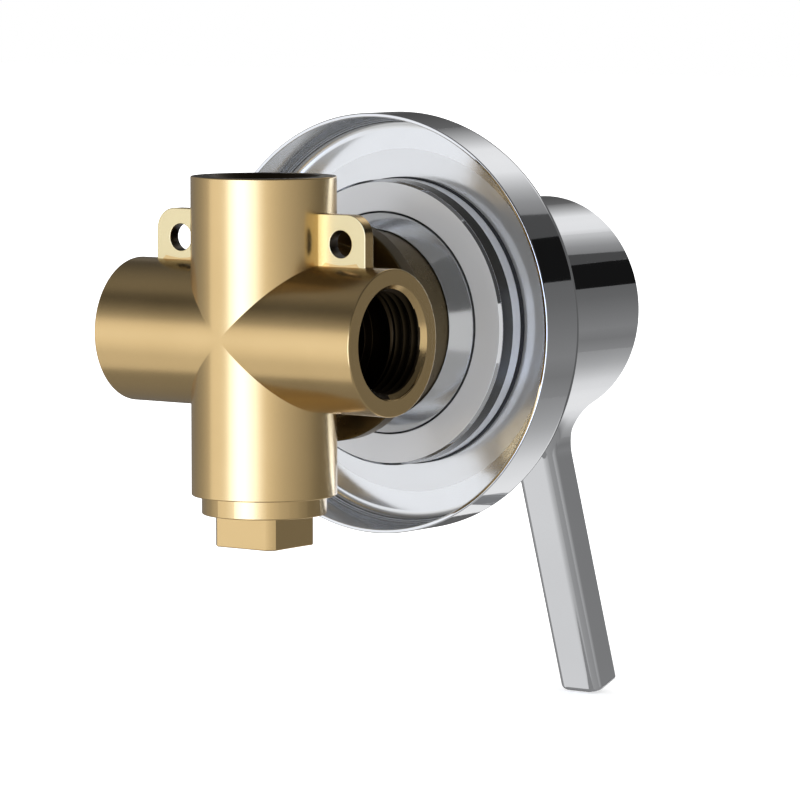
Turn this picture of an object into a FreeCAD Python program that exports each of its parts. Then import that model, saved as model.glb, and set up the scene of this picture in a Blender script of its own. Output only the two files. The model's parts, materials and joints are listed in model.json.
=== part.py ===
"""Concealed single-lever shower mixer: a cast brass cross body with a ceramic cartridge in its neck,
a chromed sleeve and wall plate in front of it, and a handle hub with a lever.

Frame: millimetres, +Z up, the user stands on the -Y side. The origin is the centre of the wall plate's
rear rim, so Y = 0 is the finished wall and the brass body lies behind it on the +Y side.
"""
import FreeCAD, Part
import math
import os

V = FreeCAD.Vector
X_AXIS = V(1, 0, 0)
Y_AXIS = V(0, 1, 0)
Z_AXIS = V(0, 0, 1)

# Clearances
RUNNING = 0.05          # radial play of a part that turns or slides in its guide
SLIP = 0.1              # radial play of parts that are pushed together by hand
FREE = 0.3              # gap between moving faces that never touch

# Brass body: four equal arms around the port crossing
PORT_Y = 34.0           # port axes behind the finished wall
ARM_R = 13.5
ARM_REACH = 29.5        # port face from the crossing
THREAD_R = 9.32         # minor radius of the half inch pipe thread
THREAD_DEPTH = 11.5
MOUTH_R = 10.57         # outer radius of the 45 degree lead-in
PASSAGE_R = 7.0         # water way behind each side thread
RISER_R = 4.8           # upright water way that joins the top and the bottom port
WEB = 2.8               # brass left between a side passage and the riser

# Fixing ears
EAR_THICK = 2.5
EAR_REACH = 24.2        # outer edge from the middle
EAR_TOP = 23.0
EAR_CORNER_R = 4.0
EAR_HOLE_R = 2.5
EAR_HOLE_X = 18.6
EAR_HOLE_Z = 17.6

# Neck and flange of the body
BOSS_R = 16.5
FLANGE_R = 21.2
FLANGE_BACK = 15.2
FLANGE_THICK = 3.5
NECK_R = 18.1
NECK_FRONT = -8.0
CHAMBER_R = 14.2
CHAMBER_FLOOR = 19.0
NUT_BORE_R = 15.9
NUT_BORE_DEPTH = 10.0

# Water ways through the chamber floor and the discs, as places across the chamber (X, Z)
FLOOR_SIDE = (8.6, -3.0)
FLOOR_OUTLET = (0.0, 8.4)
FLOOR_SIDE_R = 2.6
FLOOR_OUTLET_R = 2.9
DISC_SIDE = (4.6, -3.0)
DISC_OUTLET = (0.0, 3.9)
DISC_SIDE_R = 2.0
DISC_OUTLET_R = 2.6

# Bottom plug
PLUG_SHOULDER_R = 11.6
PLUG_SHOULDER = 3.5
PLUG_SQUARE = 14.0
PLUG_CORNER_R = 9.0
PLUG_HEAD = 6.0
PLUG_SHANK = 9.0
PLUG_SEAL_SECTION = 0.75

# Cartridge
BASE_STANDOFF = 0.4
BASE_LENGTH = 12.1
BASE_R = 13.9
BASE_SPIGOT = 1.0
PEG_R = 1.4
PEG_LENGTH = 2.2
PEG_PLACE = (7.5, 7.5)
SEAL_WALL = 1.2
SEAL_SEAT = 1.0
DISC_SEAL_WALL = 0.9
DISC_STANDOFF = 0.3
DISC_SEAL_SEAT = 0.8
FIXED_DISC_R = 12.6
DISC_THICK = 3.5
DISC_GAP = 0.05
MOVING_DISC_R = 10.0
CAVITY_HALF_WIDTH = 5.6
CAVITY_BELOW = 2.9
CAVITY_ABOVE = 6.0
CAVITY_DEPTH = 2.2
CAVITY_CORNER_R = 2.5
DRIVE_PEG_R = 1.1
DRIVE_PEG_X = 7.6
DRIVE_PEG = 1.0
CARRIER_R = 9.6
CARRIER_THICK = 4.75
RAIL_HALF_WIDTH = 5.0
RAIL_HALF_LENGTH = 4.4
RAIL = 1.4
HOUSING_R = 14.0
HOUSING_BORE_R = 13.0
HOUSING_LID = 3.4
TURRET_FLANGE_R = 12.8
TURRET_FLANGE = 2.5
TURRET_R = 9.5
TURRET_NOSE = 5.5       # turret's front end past the pivot
TURRET_SEAL_SECTION = 0.75
LIMIT_RING_WALL = 1.4
LIMIT_RING = 3.0

# Lift of the handle
PIVOT_Y = -16.0
LIFT = 25.0             # degrees from shut to full flow
PIN_R = 1.5
BALL_R = 2.4
BALL_Y = -3.6
SPINDLE_ARM_R = 1.7
SPINDLE_BLOCK = 8.0
BLOCK_BEHIND = 3.8
BLOCK_AHEAD = 6.0
SPINDLE_SQUARE = 7.0
SPINDLE_END = -46.0

# Cartridge nut
NUT_THREAD_R = 15.8
NUT_THREAD_BACK = -2.0
NUT_FLATS = 28.0
NUT_LIP = 3.0
NUT_HOLE_R = 11.2

# Chromed sleeve and its domed nose
SLEEVE_R = 21.0
SLEEVE_BACK = 0.8
SLEEVE_CONE = 3.9
SLEEVE_EDGE = 0.15
SLEEVE_SHOULDER_Y = -14.0
SLEEVE_BEVEL = 0.8
SLEEVE_STEP_Y = -9.5
DOME_R = 19.0
DOME_WALL = 1.8
DOME_MOUTH_R = 13.0

# Wall plate
PLATE_R = 40.1
PLATE_WALL = 0.8
PLATE_SIDE = 9.6
PLATE_DISH = 10.8       # rim plane to the back of the web
PLATE_WEB = 1.4
PLATE_FILLET = 2.5
PLATE_HOLE_PLAY = 0.35
PLATE_NECK_WALL = 1.65
PLATE_NECK = 4.8
COLLAR_R = 27.35
COLLAR_BACK = -3.4
COLLAR_BEVEL = 0.5
COLLAR_LIP = 0.7
COLLAR_LIP_PLAY = 0.3
GASKET_THICK = 1.0
GASKET_R = 27.6
PLATE_SEAL_SECTION = 0.8

# Handle: hub, flared neck and lever
HUB_R = 21.9
HUB_BACK = -26.0
HUB_FRONT = -59.0
HUB_BORE_R = 19.5
HUB_FACE = 4.5          # thickness of the hub's front
HUB_EDGE = 0.4
HANDLE_BOSS_R = 6.5
HANDLE_BOSS_BACK = -34.5
LEVER_LEAN = 19.0       # degrees out of the vertical
LEVER_BACK_Y = -42.7    # the back face's plane where it would cross Z = 0
LEVER_WIDTH = 9.8
LEVER_THICK = 7.4
LEVER_BACK_R = 2.3
LEVER_FRONT_EDGE = 0.4
LEVER_LENGTH = 84.5     # from the Z = 0 plane to the tip, along the lean
LEVER_TIP_R = 1.2
FLARE_R = 13.3          # hollow of the neck where the lever runs into the hub
GRUB_R = 2.0
GRUB_LENGTH = 5.0
GRUB_KEY = 2.0
GRUB_Y = -37.5
CAP_R = 2.4
CAP_THICK = 2.0
CAP_RECESS = 0.15

# Places that follow from the sizes above
BASE_BACK = CHAMBER_FLOOR - BASE_STANDOFF
BASE_FRONT = BASE_BACK - BASE_LENGTH
FIXED_BACK = BASE_FRONT - DISC_STANDOFF
FIXED_FRONT = FIXED_BACK - DISC_THICK
MOVING_BACK = FIXED_FRONT - DISC_GAP
MOVING_FRONT = MOVING_BACK - DISC_THICK
CARRIER_FRONT = MOVING_FRONT - CARRIER_THICK
TURRET_BACK = CARRIER_FRONT - FREE
TURRET_FLANGE_Y = TURRET_BACK - TURRET_FLANGE
LID_BACK = TURRET_FLANGE_Y - 2 * SLIP
HOUSING_FRONT = LID_BACK - HOUSING_LID
HOUSING_BACK = BASE_FRONT + BASE_SPIGOT
NUT_FRONT = HOUSING_FRONT - NUT_LIP
ARM_OF_BALL = BALL_Y - PIVOT_Y
DISC_TRAVEL = ARM_OF_BALL * math.sin(math.radians(LIFT))
DISC_REST_Z = DISC_TRAVEL / 2
LIFT_RAD = math.radians(LIFT)
COLLAR_FRONT = -PLATE_DISH + GASKET_THICK
PLATE_HOLE_R = SLEEVE_R + PLATE_HOLE_PLAY
PLATE_NECK_R = PLATE_HOLE_R + PLATE_NECK_WALL
LEAN = math.radians(LEVER_LEAN)
LEVER_FRONT_Y = LEVER_BACK_Y - LEVER_THICK / math.cos(LEAN)
BLANK_FRONT = LEVER_FRONT_Y - LEVER_LENGTH * math.sin(LEAN) - LEVER_THICK


def round_bar(radius, start, end):
    """Cylinder between two points."""
    way = end - start
    return Part.makeCylinder(radius, way.Length, start, way)


def along_y(radius, y_one, y_two, x=0.0, z=0.0):
    """Cylinder between two depths, at a place across the chamber."""
    return round_bar(radius, V(x, y_one, z), V(x, y_two, z))


def block(x_span, y_span, z_span):
    """Box from three (low, high) pairs."""
    size = [high - low for low, high in (x_span, y_span, z_span)]
    return Part.makeBox(*size, V(x_span[0], y_span[0], z_span[0]))


def turned(outline):
    """Solid turned about Y. A point is (radius, y), or (radius, y, via radius, via y) at an arc's end."""
    edges = []
    last = outline[-1]
    for point in outline:
        start = V(last[0], last[1], 0)
        end = V(point[0], point[1], 0)
        if len(point) == 4:
            edges.append(Part.Arc(start, V(point[2], point[3], 0), end).toShape())
        else:
            edges.append(Part.LineSegment(start, end).toShape())
        last = point
    solid = Part.Face(Part.Wire(edges)).revolve(V(0, 0, 0), Y_AXIS, 360)
    if solid.Volume < 0:
        solid.reverse()
    return solid


def o_ring(inner_r, section_r, middle, axis):
    """Rubber ring of round section."""
    return Part.makeTorus(inner_r + section_r, section_r, middle, axis)


def water_ways(side, side_r, outlet, outlet_r):
    """Places and radii of the two inlets and the outlet across the chamber."""
    return {
        "hot": (side[0], side[1], side_r),
        "cold": (-side[0], side[1], side_r),
        "outlet": (outlet[0], outlet[1], outlet_r),
    }


FLOOR_WAYS = water_ways(FLOOR_SIDE, FLOOR_SIDE_R, FLOOR_OUTLET, FLOOR_OUTLET_R)
DISC_WAYS = water_ways(DISC_SIDE, DISC_SIDE_R, DISC_OUTLET, DISC_OUTLET_R)


def port_cut(direction):
    """What a threaded port takes out of an arm: lead-in and thread bore, opening outwards."""
    centre = V(0, PORT_Y, 0)
    face = centre + direction * ARM_REACH
    lead = MOUTH_R - THREAD_R
    cut = Part.makeCone(THREAD_R, MOUTH_R, lead, face - direction * lead, direction)
    return cut.fuse(round_bar(THREAD_R, face - direction * THREAD_DEPTH, face))


def ear(side):
    """Flat ear in the angle between the upright and the level arm."""
    inner = ARM_R - EAR_THICK
    low = ARM_R - EAR_THICK / 2
    turn = EAR_CORNER_R * (1 - math.sqrt(0.5))
    points = [V(inner, 0, low), V(EAR_REACH, 0, low), V(EAR_REACH, 0, EAR_TOP - EAR_CORNER_R)]
    corner = V(EAR_REACH - turn, 0, EAR_TOP - turn)
    after = V(EAR_REACH - EAR_CORNER_R, 0, EAR_TOP)
    end = V(inner, 0, EAR_TOP)
    edges = [Part.LineSegment(points[0], points[1]).toShape()]
    edges.append(Part.LineSegment(points[1], points[2]).toShape())
    edges.append(Part.Arc(points[2], corner, after).toShape())
    edges.append(Part.LineSegment(after, end).toShape())
    edges.append(Part.LineSegment(end, points[0]).toShape())
    plate = Part.Face(Part.Wire(edges)).extrude(Y_AXIS * EAR_THICK)
    plate.translate(V(0, PORT_Y - EAR_THICK / 2, 0))
    hole = along_y(EAR_HOLE_R, PORT_Y - EAR_THICK, PORT_Y + EAR_THICK, EAR_HOLE_X, EAR_HOLE_Z)
    plate = plate.cut(hole)
    if side < 0:
        plate = plate.mirror(V(0, 0, 0), X_AXIS)
    return plate


def valve_body():
    """Casting: cross of four arms, two ears, boss, flange and neck, with its real water ways."""
    centre = V(0, PORT_Y, 0)
    body = round_bar(ARM_R, centre - X_AXIS * ARM_REACH, centre + X_AXIS * ARM_REACH)
    body = body.fuse(round_bar(ARM_R, centre - Z_AXIS * ARM_REACH, centre + Z_AXIS * ARM_REACH))
    flange_front = FLANGE_BACK - FLANGE_THICK
    stem = [(0, PORT_Y), (BOSS_R, PORT_Y - ARM_R / 2), (BOSS_R, FLANGE_BACK), (FLANGE_R, FLANGE_BACK)]
    stem += [(FLANGE_R, flange_front), (NECK_R, flange_front), (NECK_R, NECK_FRONT), (0, NECK_FRONT)]
    body = body.fuse([turned(stem), ear(1), ear(-1)])
    cuts = [port_cut(direction) for direction in (X_AXIS, -X_AXIS, Z_AXIS, -Z_AXIS)]
    blind = RISER_R + WEB
    bore_end = ARM_REACH - THREAD_DEPTH
    for side in (1, -1):
        cuts.append(round_bar(PASSAGE_R, centre + X_AXIS * side * blind, centre + X_AXIS * side * bore_end))
        peg = along_y(PEG_R + SLIP, CHAMBER_FLOOR, CHAMBER_FLOOR + PEG_LENGTH + FREE,
                      side * PEG_PLACE[0], PEG_PLACE[1])
        cuts.append(peg)
    cuts.append(round_bar(RISER_R, centre - Z_AXIS * bore_end, centre + Z_AXIS * bore_end))
    for x, z, radius in FLOOR_WAYS.values():
        cuts.append(along_y(radius, CHAMBER_FLOOR, PORT_Y, x, z))
    cuts.append(along_y(CHAMBER_R, NECK_FRONT, CHAMBER_FLOOR))
    cuts.append(along_y(NUT_BORE_R, NECK_FRONT, NECK_FRONT + NUT_BORE_DEPTH))
    return body.cut(cuts).removeSplitter()


def bottom_plug():
    """Screwed plug of the spare port: shank with a seal groove, round shoulder, turned square head."""
    face = -ARM_REACH
    shank_r = THREAD_R - SLIP
    plug = round_bar(shank_r, V(0, PORT_Y, face + PLUG_SHANK), V(0, PORT_Y, face))
    plug = plug.fuse(round_bar(PLUG_SHOULDER_R, V(0, PORT_Y, face), V(0, PORT_Y, face - PLUG_SHOULDER)))
    head_top = face - PLUG_SHOULDER
    half = PLUG_SQUARE / 2
    square = block((-half, half), (PORT_Y - half, PORT_Y + half), (head_top - PLUG_HEAD, head_top))
    head = square.common(round_bar(PLUG_CORNER_R, V(0, PORT_Y, head_top), V(0, PORT_Y, head_top - PLUG_HEAD)))
    return plug.fuse(head).cut(plug_groove()).removeSplitter()


def plug_seal_z():
    """Height of the plug's seal, a third of the way down its shank."""
    return -ARM_REACH + PLUG_SHANK / 3


def plug_groove():
    """Ring groove for the plug's seal."""
    half = PLUG_SEAL_SECTION + SLIP / 2
    low = V(0, PORT_Y, plug_seal_z() - half)
    high = V(0, PORT_Y, plug_seal_z() + half)
    floor_r = THREAD_R - 2 * PLUG_SEAL_SECTION
    return round_bar(THREAD_R, low, high).cut(round_bar(floor_r, low, high))


def bottom_plug_seal():
    """Rubber ring in the plug's groove."""
    floor_r = THREAD_R - 2 * PLUG_SEAL_SECTION
    return o_ring(floor_r, PLUG_SEAL_SECTION, V(0, PORT_Y, plug_seal_z()), Z_AXIS)


def seal_ring(x, z, bore_r, wall, y_one, y_two):
    """Flat rubber ring around one water way."""
    return along_y(bore_r + wall, y_one, y_two, x, z).cut(along_y(bore_r, y_one, y_two, x, z))


def base_seals():
    """Three seals between the cartridge and the chamber floor."""
    return {
        name + "_base_seal": seal_ring(x, z, r + FREE, SEAL_WALL, CHAMBER_FLOOR, BASE_BACK - SEAL_SEAT)
        for name, (x, z, r) in FLOOR_WAYS.items()
    }


def disc_seals():
    """Three seals between the cartridge base and the fixed disc."""
    return {
        name + "_disc_seal": seal_ring(x, z, r + FREE, DISC_SEAL_WALL, BASE_FRONT + DISC_SEAL_SEAT, FIXED_BACK)
        for name, (x, z, r) in DISC_WAYS.items()
    }


def cartridge_base():
    """Moulded base that leads the floor's water ways inwards to the discs."""
    base = along_y(BASE_R, BASE_BACK, HOUSING_BACK)
    base = base.fuse(along_y(HOUSING_BORE_R - RUNNING, HOUSING_BACK, BASE_FRONT))
    for side in (1, -1):
        x = side * PEG_PLACE[0]
        base = base.fuse(along_y(PEG_R, BASE_BACK, BASE_BACK + PEG_LENGTH, x, PEG_PLACE[1]))
    for name, (x, z, r) in FLOOR_WAYS.items():
        disc_x, disc_z, disc_r = DISC_WAYS[name]
        back = Part.Wire(Part.makeCircle(r, V(x, BASE_BACK, z), Y_AXIS))
        front = Part.Wire(Part.makeCircle(disc_r, V(disc_x, BASE_FRONT, disc_z), Y_AXIS))
        base = base.cut(Part.makeLoft([back, front], True))
    seats = list(base_seals().values()) + list(disc_seals().values())
    return base.cut(seats).removeSplitter()


def fixed_disc():
    """Ceramic disc with the two inlets and the outlet through it."""
    disc = along_y(FIXED_DISC_R, FIXED_BACK, FIXED_FRONT)
    return disc.cut([along_y(r, FIXED_BACK, FIXED_FRONT, x, z) for x, z, r in DISC_WAYS.values()])


def moving_disc():
    """Sliding disc with the mixing pocket in its rear face and two drive holes in its front."""
    disc = along_y(MOVING_DISC_R, MOVING_BACK, MOVING_FRONT, 0, DISC_REST_Z)
    half = CAVITY_HALF_WIDTH
    pocket = block((-half, half), (MOVING_BACK - CAVITY_DEPTH, MOVING_BACK),
                   (DISC_REST_Z - CAVITY_BELOW, DISC_REST_Z + CAVITY_ABOVE))
    upright = [e for e in pocket.Edges if abs(e.tangentAt(e.FirstParameter).y) > 0.99]
    disc = disc.cut(pocket.makeFillet(CAVITY_CORNER_R, upright))
    for side in (1, -1):
        hole = along_y(DRIVE_PEG_R + SLIP, MOVING_FRONT, MOVING_FRONT + DRIVE_PEG + SLIP,
                       side * DRIVE_PEG_X, DISC_REST_Z)
        disc = disc.cut(hole)
    return disc


def disc_carrier():
    """Moulded slider between the spindle's ball and the moving disc."""
    carrier = along_y(CARRIER_R, MOVING_FRONT, CARRIER_FRONT, 0, DISC_REST_Z)
    rail_front = CARRIER_FRONT - RAIL
    rail = block((-RAIL_HALF_WIDTH, RAIL_HALF_WIDTH), (rail_front, CARRIER_FRONT),
                 (-RAIL_HALF_LENGTH, RAIL_HALF_LENGTH))
    carrier = carrier.fuse(rail)
    for side in (1, -1):
        peg = along_y(DRIVE_PEG_R, MOVING_FRONT, MOVING_FRONT + DRIVE_PEG, side * DRIVE_PEG_X, DISC_REST_Z)
        carrier = carrier.fuse(peg)
    socket_r = BALL_R + FREE - RUNNING
    lean = (BALL_Y - rail_front) * math.tan(LIFT_RAD) + SPINDLE_ARM_R / math.cos(LIFT_RAD)
    slot = block((-socket_r, socket_r), (rail_front, CARRIER_FRONT), (-socket_r, lean + FREE))
    return carrier.cut([along_y(socket_r, rail_front, MOVING_FRONT), slot]).removeSplitter()


def cartridge_housing():
    """Moulded cup that holds the disc stack and guides the turret."""
    outer = along_y(HOUSING_R, HOUSING_BACK, HOUSING_FRONT)
    bore = along_y(HOUSING_BORE_R, HOUSING_BACK, LID_BACK)
    return outer.cut([bore, along_y(TURRET_R + SLIP, LID_BACK, HOUSING_FRONT)])


def side_cut(points, half_width):
    """Slot across X with an outline of (y, z) points."""
    corners = [V(-half_width, y, z) for y, z in points]
    return Part.Face(Part.makePolygon(corners + corners[:1])).extrude(X_AXIS * 2 * half_width)


def turret_seal_y():
    """Depth of the turret's seal, halfway through the lid."""
    return (LID_BACK + HOUSING_FRONT) / 2


def turret():
    """Turning guide: flange with the carrier's channel, stem with a seal groove, slot for the spindle."""
    nose = PIVOT_Y - TURRET_NOSE
    solid = along_y(TURRET_FLANGE_R, TURRET_BACK, TURRET_FLANGE_Y)
    solid = solid.fuse(along_y(TURRET_R, TURRET_FLANGE_Y, nose))
    half = RAIL_HALF_WIDTH + SLIP
    channel = block((-half, half), (TURRET_BACK - RAIL, TURRET_BACK), (-TURRET_FLANGE_R, TURRET_FLANGE_R))
    height = SPINDLE_BLOCK / 2
    rise = height / math.cos(LIFT_RAD) + TURRET_NOSE * math.tan(LIFT_RAD)
    corner = math.hypot(BLOCK_BEHIND, height)
    back = PIVOT_Y + BLOCK_BEHIND * math.cos(LIFT_RAD) + height * math.sin(LIFT_RAD) + FREE
    front_slot = side_cut([(nose, -height - FREE), (nose, rise + FREE), (PIVOT_Y, corner - 2 * FREE),
                           (back, height + FREE), (back, -corner), (PIVOT_Y, -corner)],
                          height + RUNNING)
    arm_side = SPINDLE_ARM_R + FREE
    drop = SPINDLE_ARM_R / math.cos(LIFT_RAD) + FREE
    rear_slot = side_cut([(back, arm_side), (TURRET_BACK, arm_side),
                          (TURRET_BACK, -drop - (TURRET_BACK - PIVOT_Y) * math.tan(LIFT_RAD)),
                          (back, -drop - (back - PIVOT_Y) * math.tan(LIFT_RAD))], arm_side)
    seal_half = TURRET_SEAL_SECTION + SLIP / 2
    groove = along_y(TURRET_R, turret_seal_y() - seal_half, turret_seal_y() + seal_half)
    groove = groove.cut(along_y(TURRET_R + SLIP - 2 * TURRET_SEAL_SECTION, turret_seal_y() - seal_half,
                                turret_seal_y() + seal_half))
    pin_hole = round_bar(PIN_R, V(-TURRET_R, PIVOT_Y, 0), V(TURRET_R, PIVOT_Y, 0))
    return solid.cut([channel, front_slot, rear_slot, groove, pin_hole]).removeSplitter()


def turret_seal():
    """Rubber ring in the turret's groove."""
    inner = TURRET_R + SLIP - 2 * TURRET_SEAL_SECTION
    return o_ring(inner, TURRET_SEAL_SECTION - RUNNING / 2, V(0, turret_seal_y(), 0), Y_AXIS)


def limit_ring():
    """Ring on the turret that sets the hottest place of the handle."""
    back = HOUSING_FRONT - 2 * SLIP
    ring = along_y(TURRET_R + LIMIT_RING_WALL, back, back - LIMIT_RING)
    return ring.cut(along_y(TURRET_R, back, back - LIMIT_RING))


def pivot_pin():
    """Cross pin the spindle tilts on."""
    reach = TURRET_R - SLIP
    return round_bar(PIN_R, V(-reach, PIVOT_Y, 0), V(reach, PIVOT_Y, 0))


def spindle():
    """Lever of the cartridge: ball and arm behind the pivot, block on the pin, square end for the handle."""
    ball = Part.makeSphere(BALL_R, V(0, BALL_Y, 0))
    arm = along_y(SPINDLE_ARM_R, BALL_Y, PIVOT_Y)
    half = SPINDLE_BLOCK / 2
    head = block((-half, half), (PIVOT_Y - BLOCK_AHEAD, PIVOT_Y + BLOCK_BEHIND), (-half, half))
    half = SPINDLE_SQUARE / 2
    shaft = block((-half, half), (SPINDLE_END, PIVOT_Y), (-half, half))
    tip = [e for e in shaft.Edges if abs(e.CenterOfMass.y - SPINDLE_END) < SLIP]
    shaft = shaft.makeChamfer(half / 8, tip)
    pin = round_bar(PIN_R + RUNNING, V(-SPINDLE_BLOCK, PIVOT_Y, 0), V(SPINDLE_BLOCK, PIVOT_Y, 0))
    return ball.fuse([arm, head, shaft]).cut(pin).removeSplitter()


def cartridge_nut():
    """Ring nut: thread in the neck, six flats in front, a lip on the cartridge."""
    thread = along_y(NUT_THREAD_R, NUT_THREAD_BACK, NUT_FRONT)
    corner_r = NUT_FLATS / 2 / math.cos(math.radians(30))
    corners = []
    for i in range(7):
        angle = math.radians(60 * i)
        corners.append(V(corner_r * math.cos(angle), NUT_FRONT, corner_r * math.sin(angle)))
    flats = Part.Face(Part.makePolygon(corners)).extrude(Y_AXIS * (NECK_FRONT - FREE - NUT_FRONT))
    trimmed = thread.common(along_y(NUT_THREAD_R, NUT_THREAD_BACK, NECK_FRONT - FREE))
    nut = trimmed.fuse(flats)
    bore = along_y(HOUSING_R + 2 * SLIP, NUT_THREAD_BACK, HOUSING_FRONT)
    return nut.cut([bore, along_y(NUT_HOLE_R, HOUSING_FRONT, NUT_FRONT)]).removeSplitter()


def sleeve():
    """Chromed sleeve over the neck: conical rear, cylinder for the plate, domed nose around the pivot."""
    bore_r = NECK_R + SLIP
    inner_r = DOME_R - DOME_WALL
    mouth_out = PIVOT_Y - math.sqrt(DOME_R ** 2 - DOME_MOUTH_R ** 2)
    mouth_in = PIVOT_Y - math.sqrt(inner_r ** 2 - DOME_MOUTH_R ** 2)
    dome_back_r = math.sqrt(DOME_R ** 2 - (SLEEVE_SHOULDER_Y - PIVOT_Y) ** 2)
    out_turn = DOME_R * math.sqrt(0.5)
    in_turn = inner_r * math.cos(math.radians(20))
    in_turn_y = PIVOT_Y - inner_r * math.sin(math.radians(20))
    return turned([
        (bore_r, SLEEVE_BACK),
        (bore_r + SLEEVE_EDGE, SLEEVE_BACK),
        (SLEEVE_R, SLEEVE_BACK - SLEEVE_CONE),
        (SLEEVE_R, SLEEVE_SHOULDER_Y + SLEEVE_BEVEL),
        (SLEEVE_R - SLEEVE_BEVEL, SLEEVE_SHOULDER_Y),
        (dome_back_r, SLEEVE_SHOULDER_Y),
        (DOME_MOUTH_R, mouth_out, out_turn * 1.2, PIVOT_Y - math.sqrt(DOME_R ** 2 - (out_turn * 1.2) ** 2)),
        (DOME_MOUTH_R, mouth_in),
        (inner_r, PIVOT_Y, in_turn, in_turn_y),
        (inner_r, SLEEVE_STEP_Y),
        (bore_r, SLEEVE_STEP_Y),
    ])


def plate():
    """Dished wall plate with a thin rim, a rounded front shoulder and a short neck behind its hole."""
    inner = PLATE_R - PLATE_WALL
    web_back = -PLATE_DISH
    front = web_back - PLATE_WEB
    bend = PLATE_FILLET * (1 - math.sqrt(0.5))
    shoulder = -PLATE_SIDE - front
    turn = shoulder * (1 - math.sqrt(0.5))
    return turned([
        (PLATE_HOLE_R, front),
        (PLATE_R - shoulder, front),
        (PLATE_R, -PLATE_SIDE, PLATE_R - turn, front + turn),
        (PLATE_R, 0),
        (inner, 0),
        (inner, web_back + PLATE_FILLET),
        (inner - PLATE_FILLET, web_back, inner - bend, web_back + bend),
        (PLATE_NECK_R, web_back),
        (PLATE_NECK_R, web_back + PLATE_NECK),
        (PLATE_HOLE_R, web_back + PLATE_NECK),
    ])


def plate_collar():
    """Chromed ring screwed on the plate's neck, with a lip that traps the plate's seal."""
    lip_r = SLEEVE_R + COLLAR_LIP_PLAY
    lip_front = COLLAR_BACK - COLLAR_LIP
    neck_back = -PLATE_DISH + PLATE_NECK
    seat_r = SLEEVE_R + RUNNING + 2 * PLATE_SEAL_SECTION
    return turned([
        (lip_r, COLLAR_BACK),
        (COLLAR_R - COLLAR_BEVEL, COLLAR_BACK),
        (COLLAR_R, COLLAR_BACK - COLLAR_BEVEL),
        (COLLAR_R, COLLAR_FRONT),
        (PLATE_NECK_R + RUNNING, COLLAR_FRONT),
        (PLATE_NECK_R + RUNNING, neck_back + RUNNING),
        (seat_r, neck_back + RUNNING),
        (seat_r, lip_front),
        (lip_r, lip_front),
    ])


def plate_gasket():
    """Flat ring between the collar and the plate."""
    ring = along_y(GASKET_R, -PLATE_DISH, COLLAR_FRONT)
    return ring.cut(along_y(PLATE_NECK_R + SLIP, -PLATE_DISH, COLLAR_FRONT))


def plate_seal():
    """Rubber ring that grips the sleeve and lets the plate slide to the wall."""
    middle = COLLAR_BACK - COLLAR_LIP - PLATE_SEAL_SECTION - RUNNING
    return o_ring(SLEEVE_R + RUNNING, PLATE_SEAL_SECTION, V(0, middle, 0), Y_AXIS)


def lever_blank():
    """Lever bar before its front is trimmed: two rounded corners behind, rounded at the tip."""
    w, r = LEVER_WIDTH / 2, LEVER_BACK_R
    k = r * (1 - math.sqrt(0.5))
    front = -2 * LEVER_THICK - LEVER_LENGTH
    outline = [
        Part.makeLine(V(-w, front, 0), V(-w, -r, 0)),
        Part.Arc(V(-w, -r, 0), V(k - w, -k, 0), V(r - w, 0, 0)).toShape(),
        Part.makeLine(V(r - w, 0, 0), V(w - r, 0, 0)),
        Part.Arc(V(w - r, 0, 0), V(w - k, -k, 0), V(w, -r, 0)).toShape(),
        Part.makeLine(V(w, -r, 0), V(w, front, 0)),
        Part.makeLine(V(w, front, 0), V(-w, front, 0)),
    ]
    bar = Part.Face(Part.Wire(outline)).extrude(V(0, 0, -LEVER_LENGTH))
    tip = [e for e in bar.Edges if abs(e.BoundBox.ZMax + LEVER_LENGTH) < SLIP and e.BoundBox.YMax > front + SLIP]
    bar = bar.makeFillet(LEVER_TIP_R, tip)
    bar.rotate(V(0, 0, 0), X_AXIS, -LEVER_LEAN)
    bar.translate(V(0, LEVER_BACK_Y, 0))
    room = 2 * LEVER_LENGTH
    return bar.common(block((-room, room), (BLANK_FRONT, 0), (-room, room)))


def front_y(z):
    """The handle's front at a height: the hub's flat face above, the lever's leaning face below."""
    return min(HUB_FRONT, LEVER_FRONT_Y + z * math.tan(LEAN))


def trimmed(blank):
    """Blank cut back to the handle's front, with a fine chamfer all round the front's edge."""
    room = 2 * LEVER_LENGTH
    bend = (HUB_FRONT - LEVER_FRONT_Y) / math.tan(LEAN)
    corners = [(room, HUB_FRONT), (bend, HUB_FRONT), (-room, front_y(-room)), (-room, -2 * room), (room, -2 * room)]
    outline = Part.makePolygon([V(-room, y, z) for z, y in corners + corners[:1]])
    solid = blank.cut(Part.Face(outline).extrude(V(2 * room, 0, 0)))
    rim = []
    for edge in solid.Edges:
        points = [edge.valueAt(t) for t in (edge.FirstParameter, edge.LastParameter)] + [edge.CenterOfMass]
        in_front = all(abs(p.y - front_y(p.z)) < SLIP for p in points)
        if in_front and not (abs(edge.CenterOfMass.z - bend) < SLIP and abs(edge.CenterOfMass.x) < SLIP):
            rim.append(edge)
    return solid.makeChamfer(LEVER_FRONT_EDGE, rim)


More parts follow.
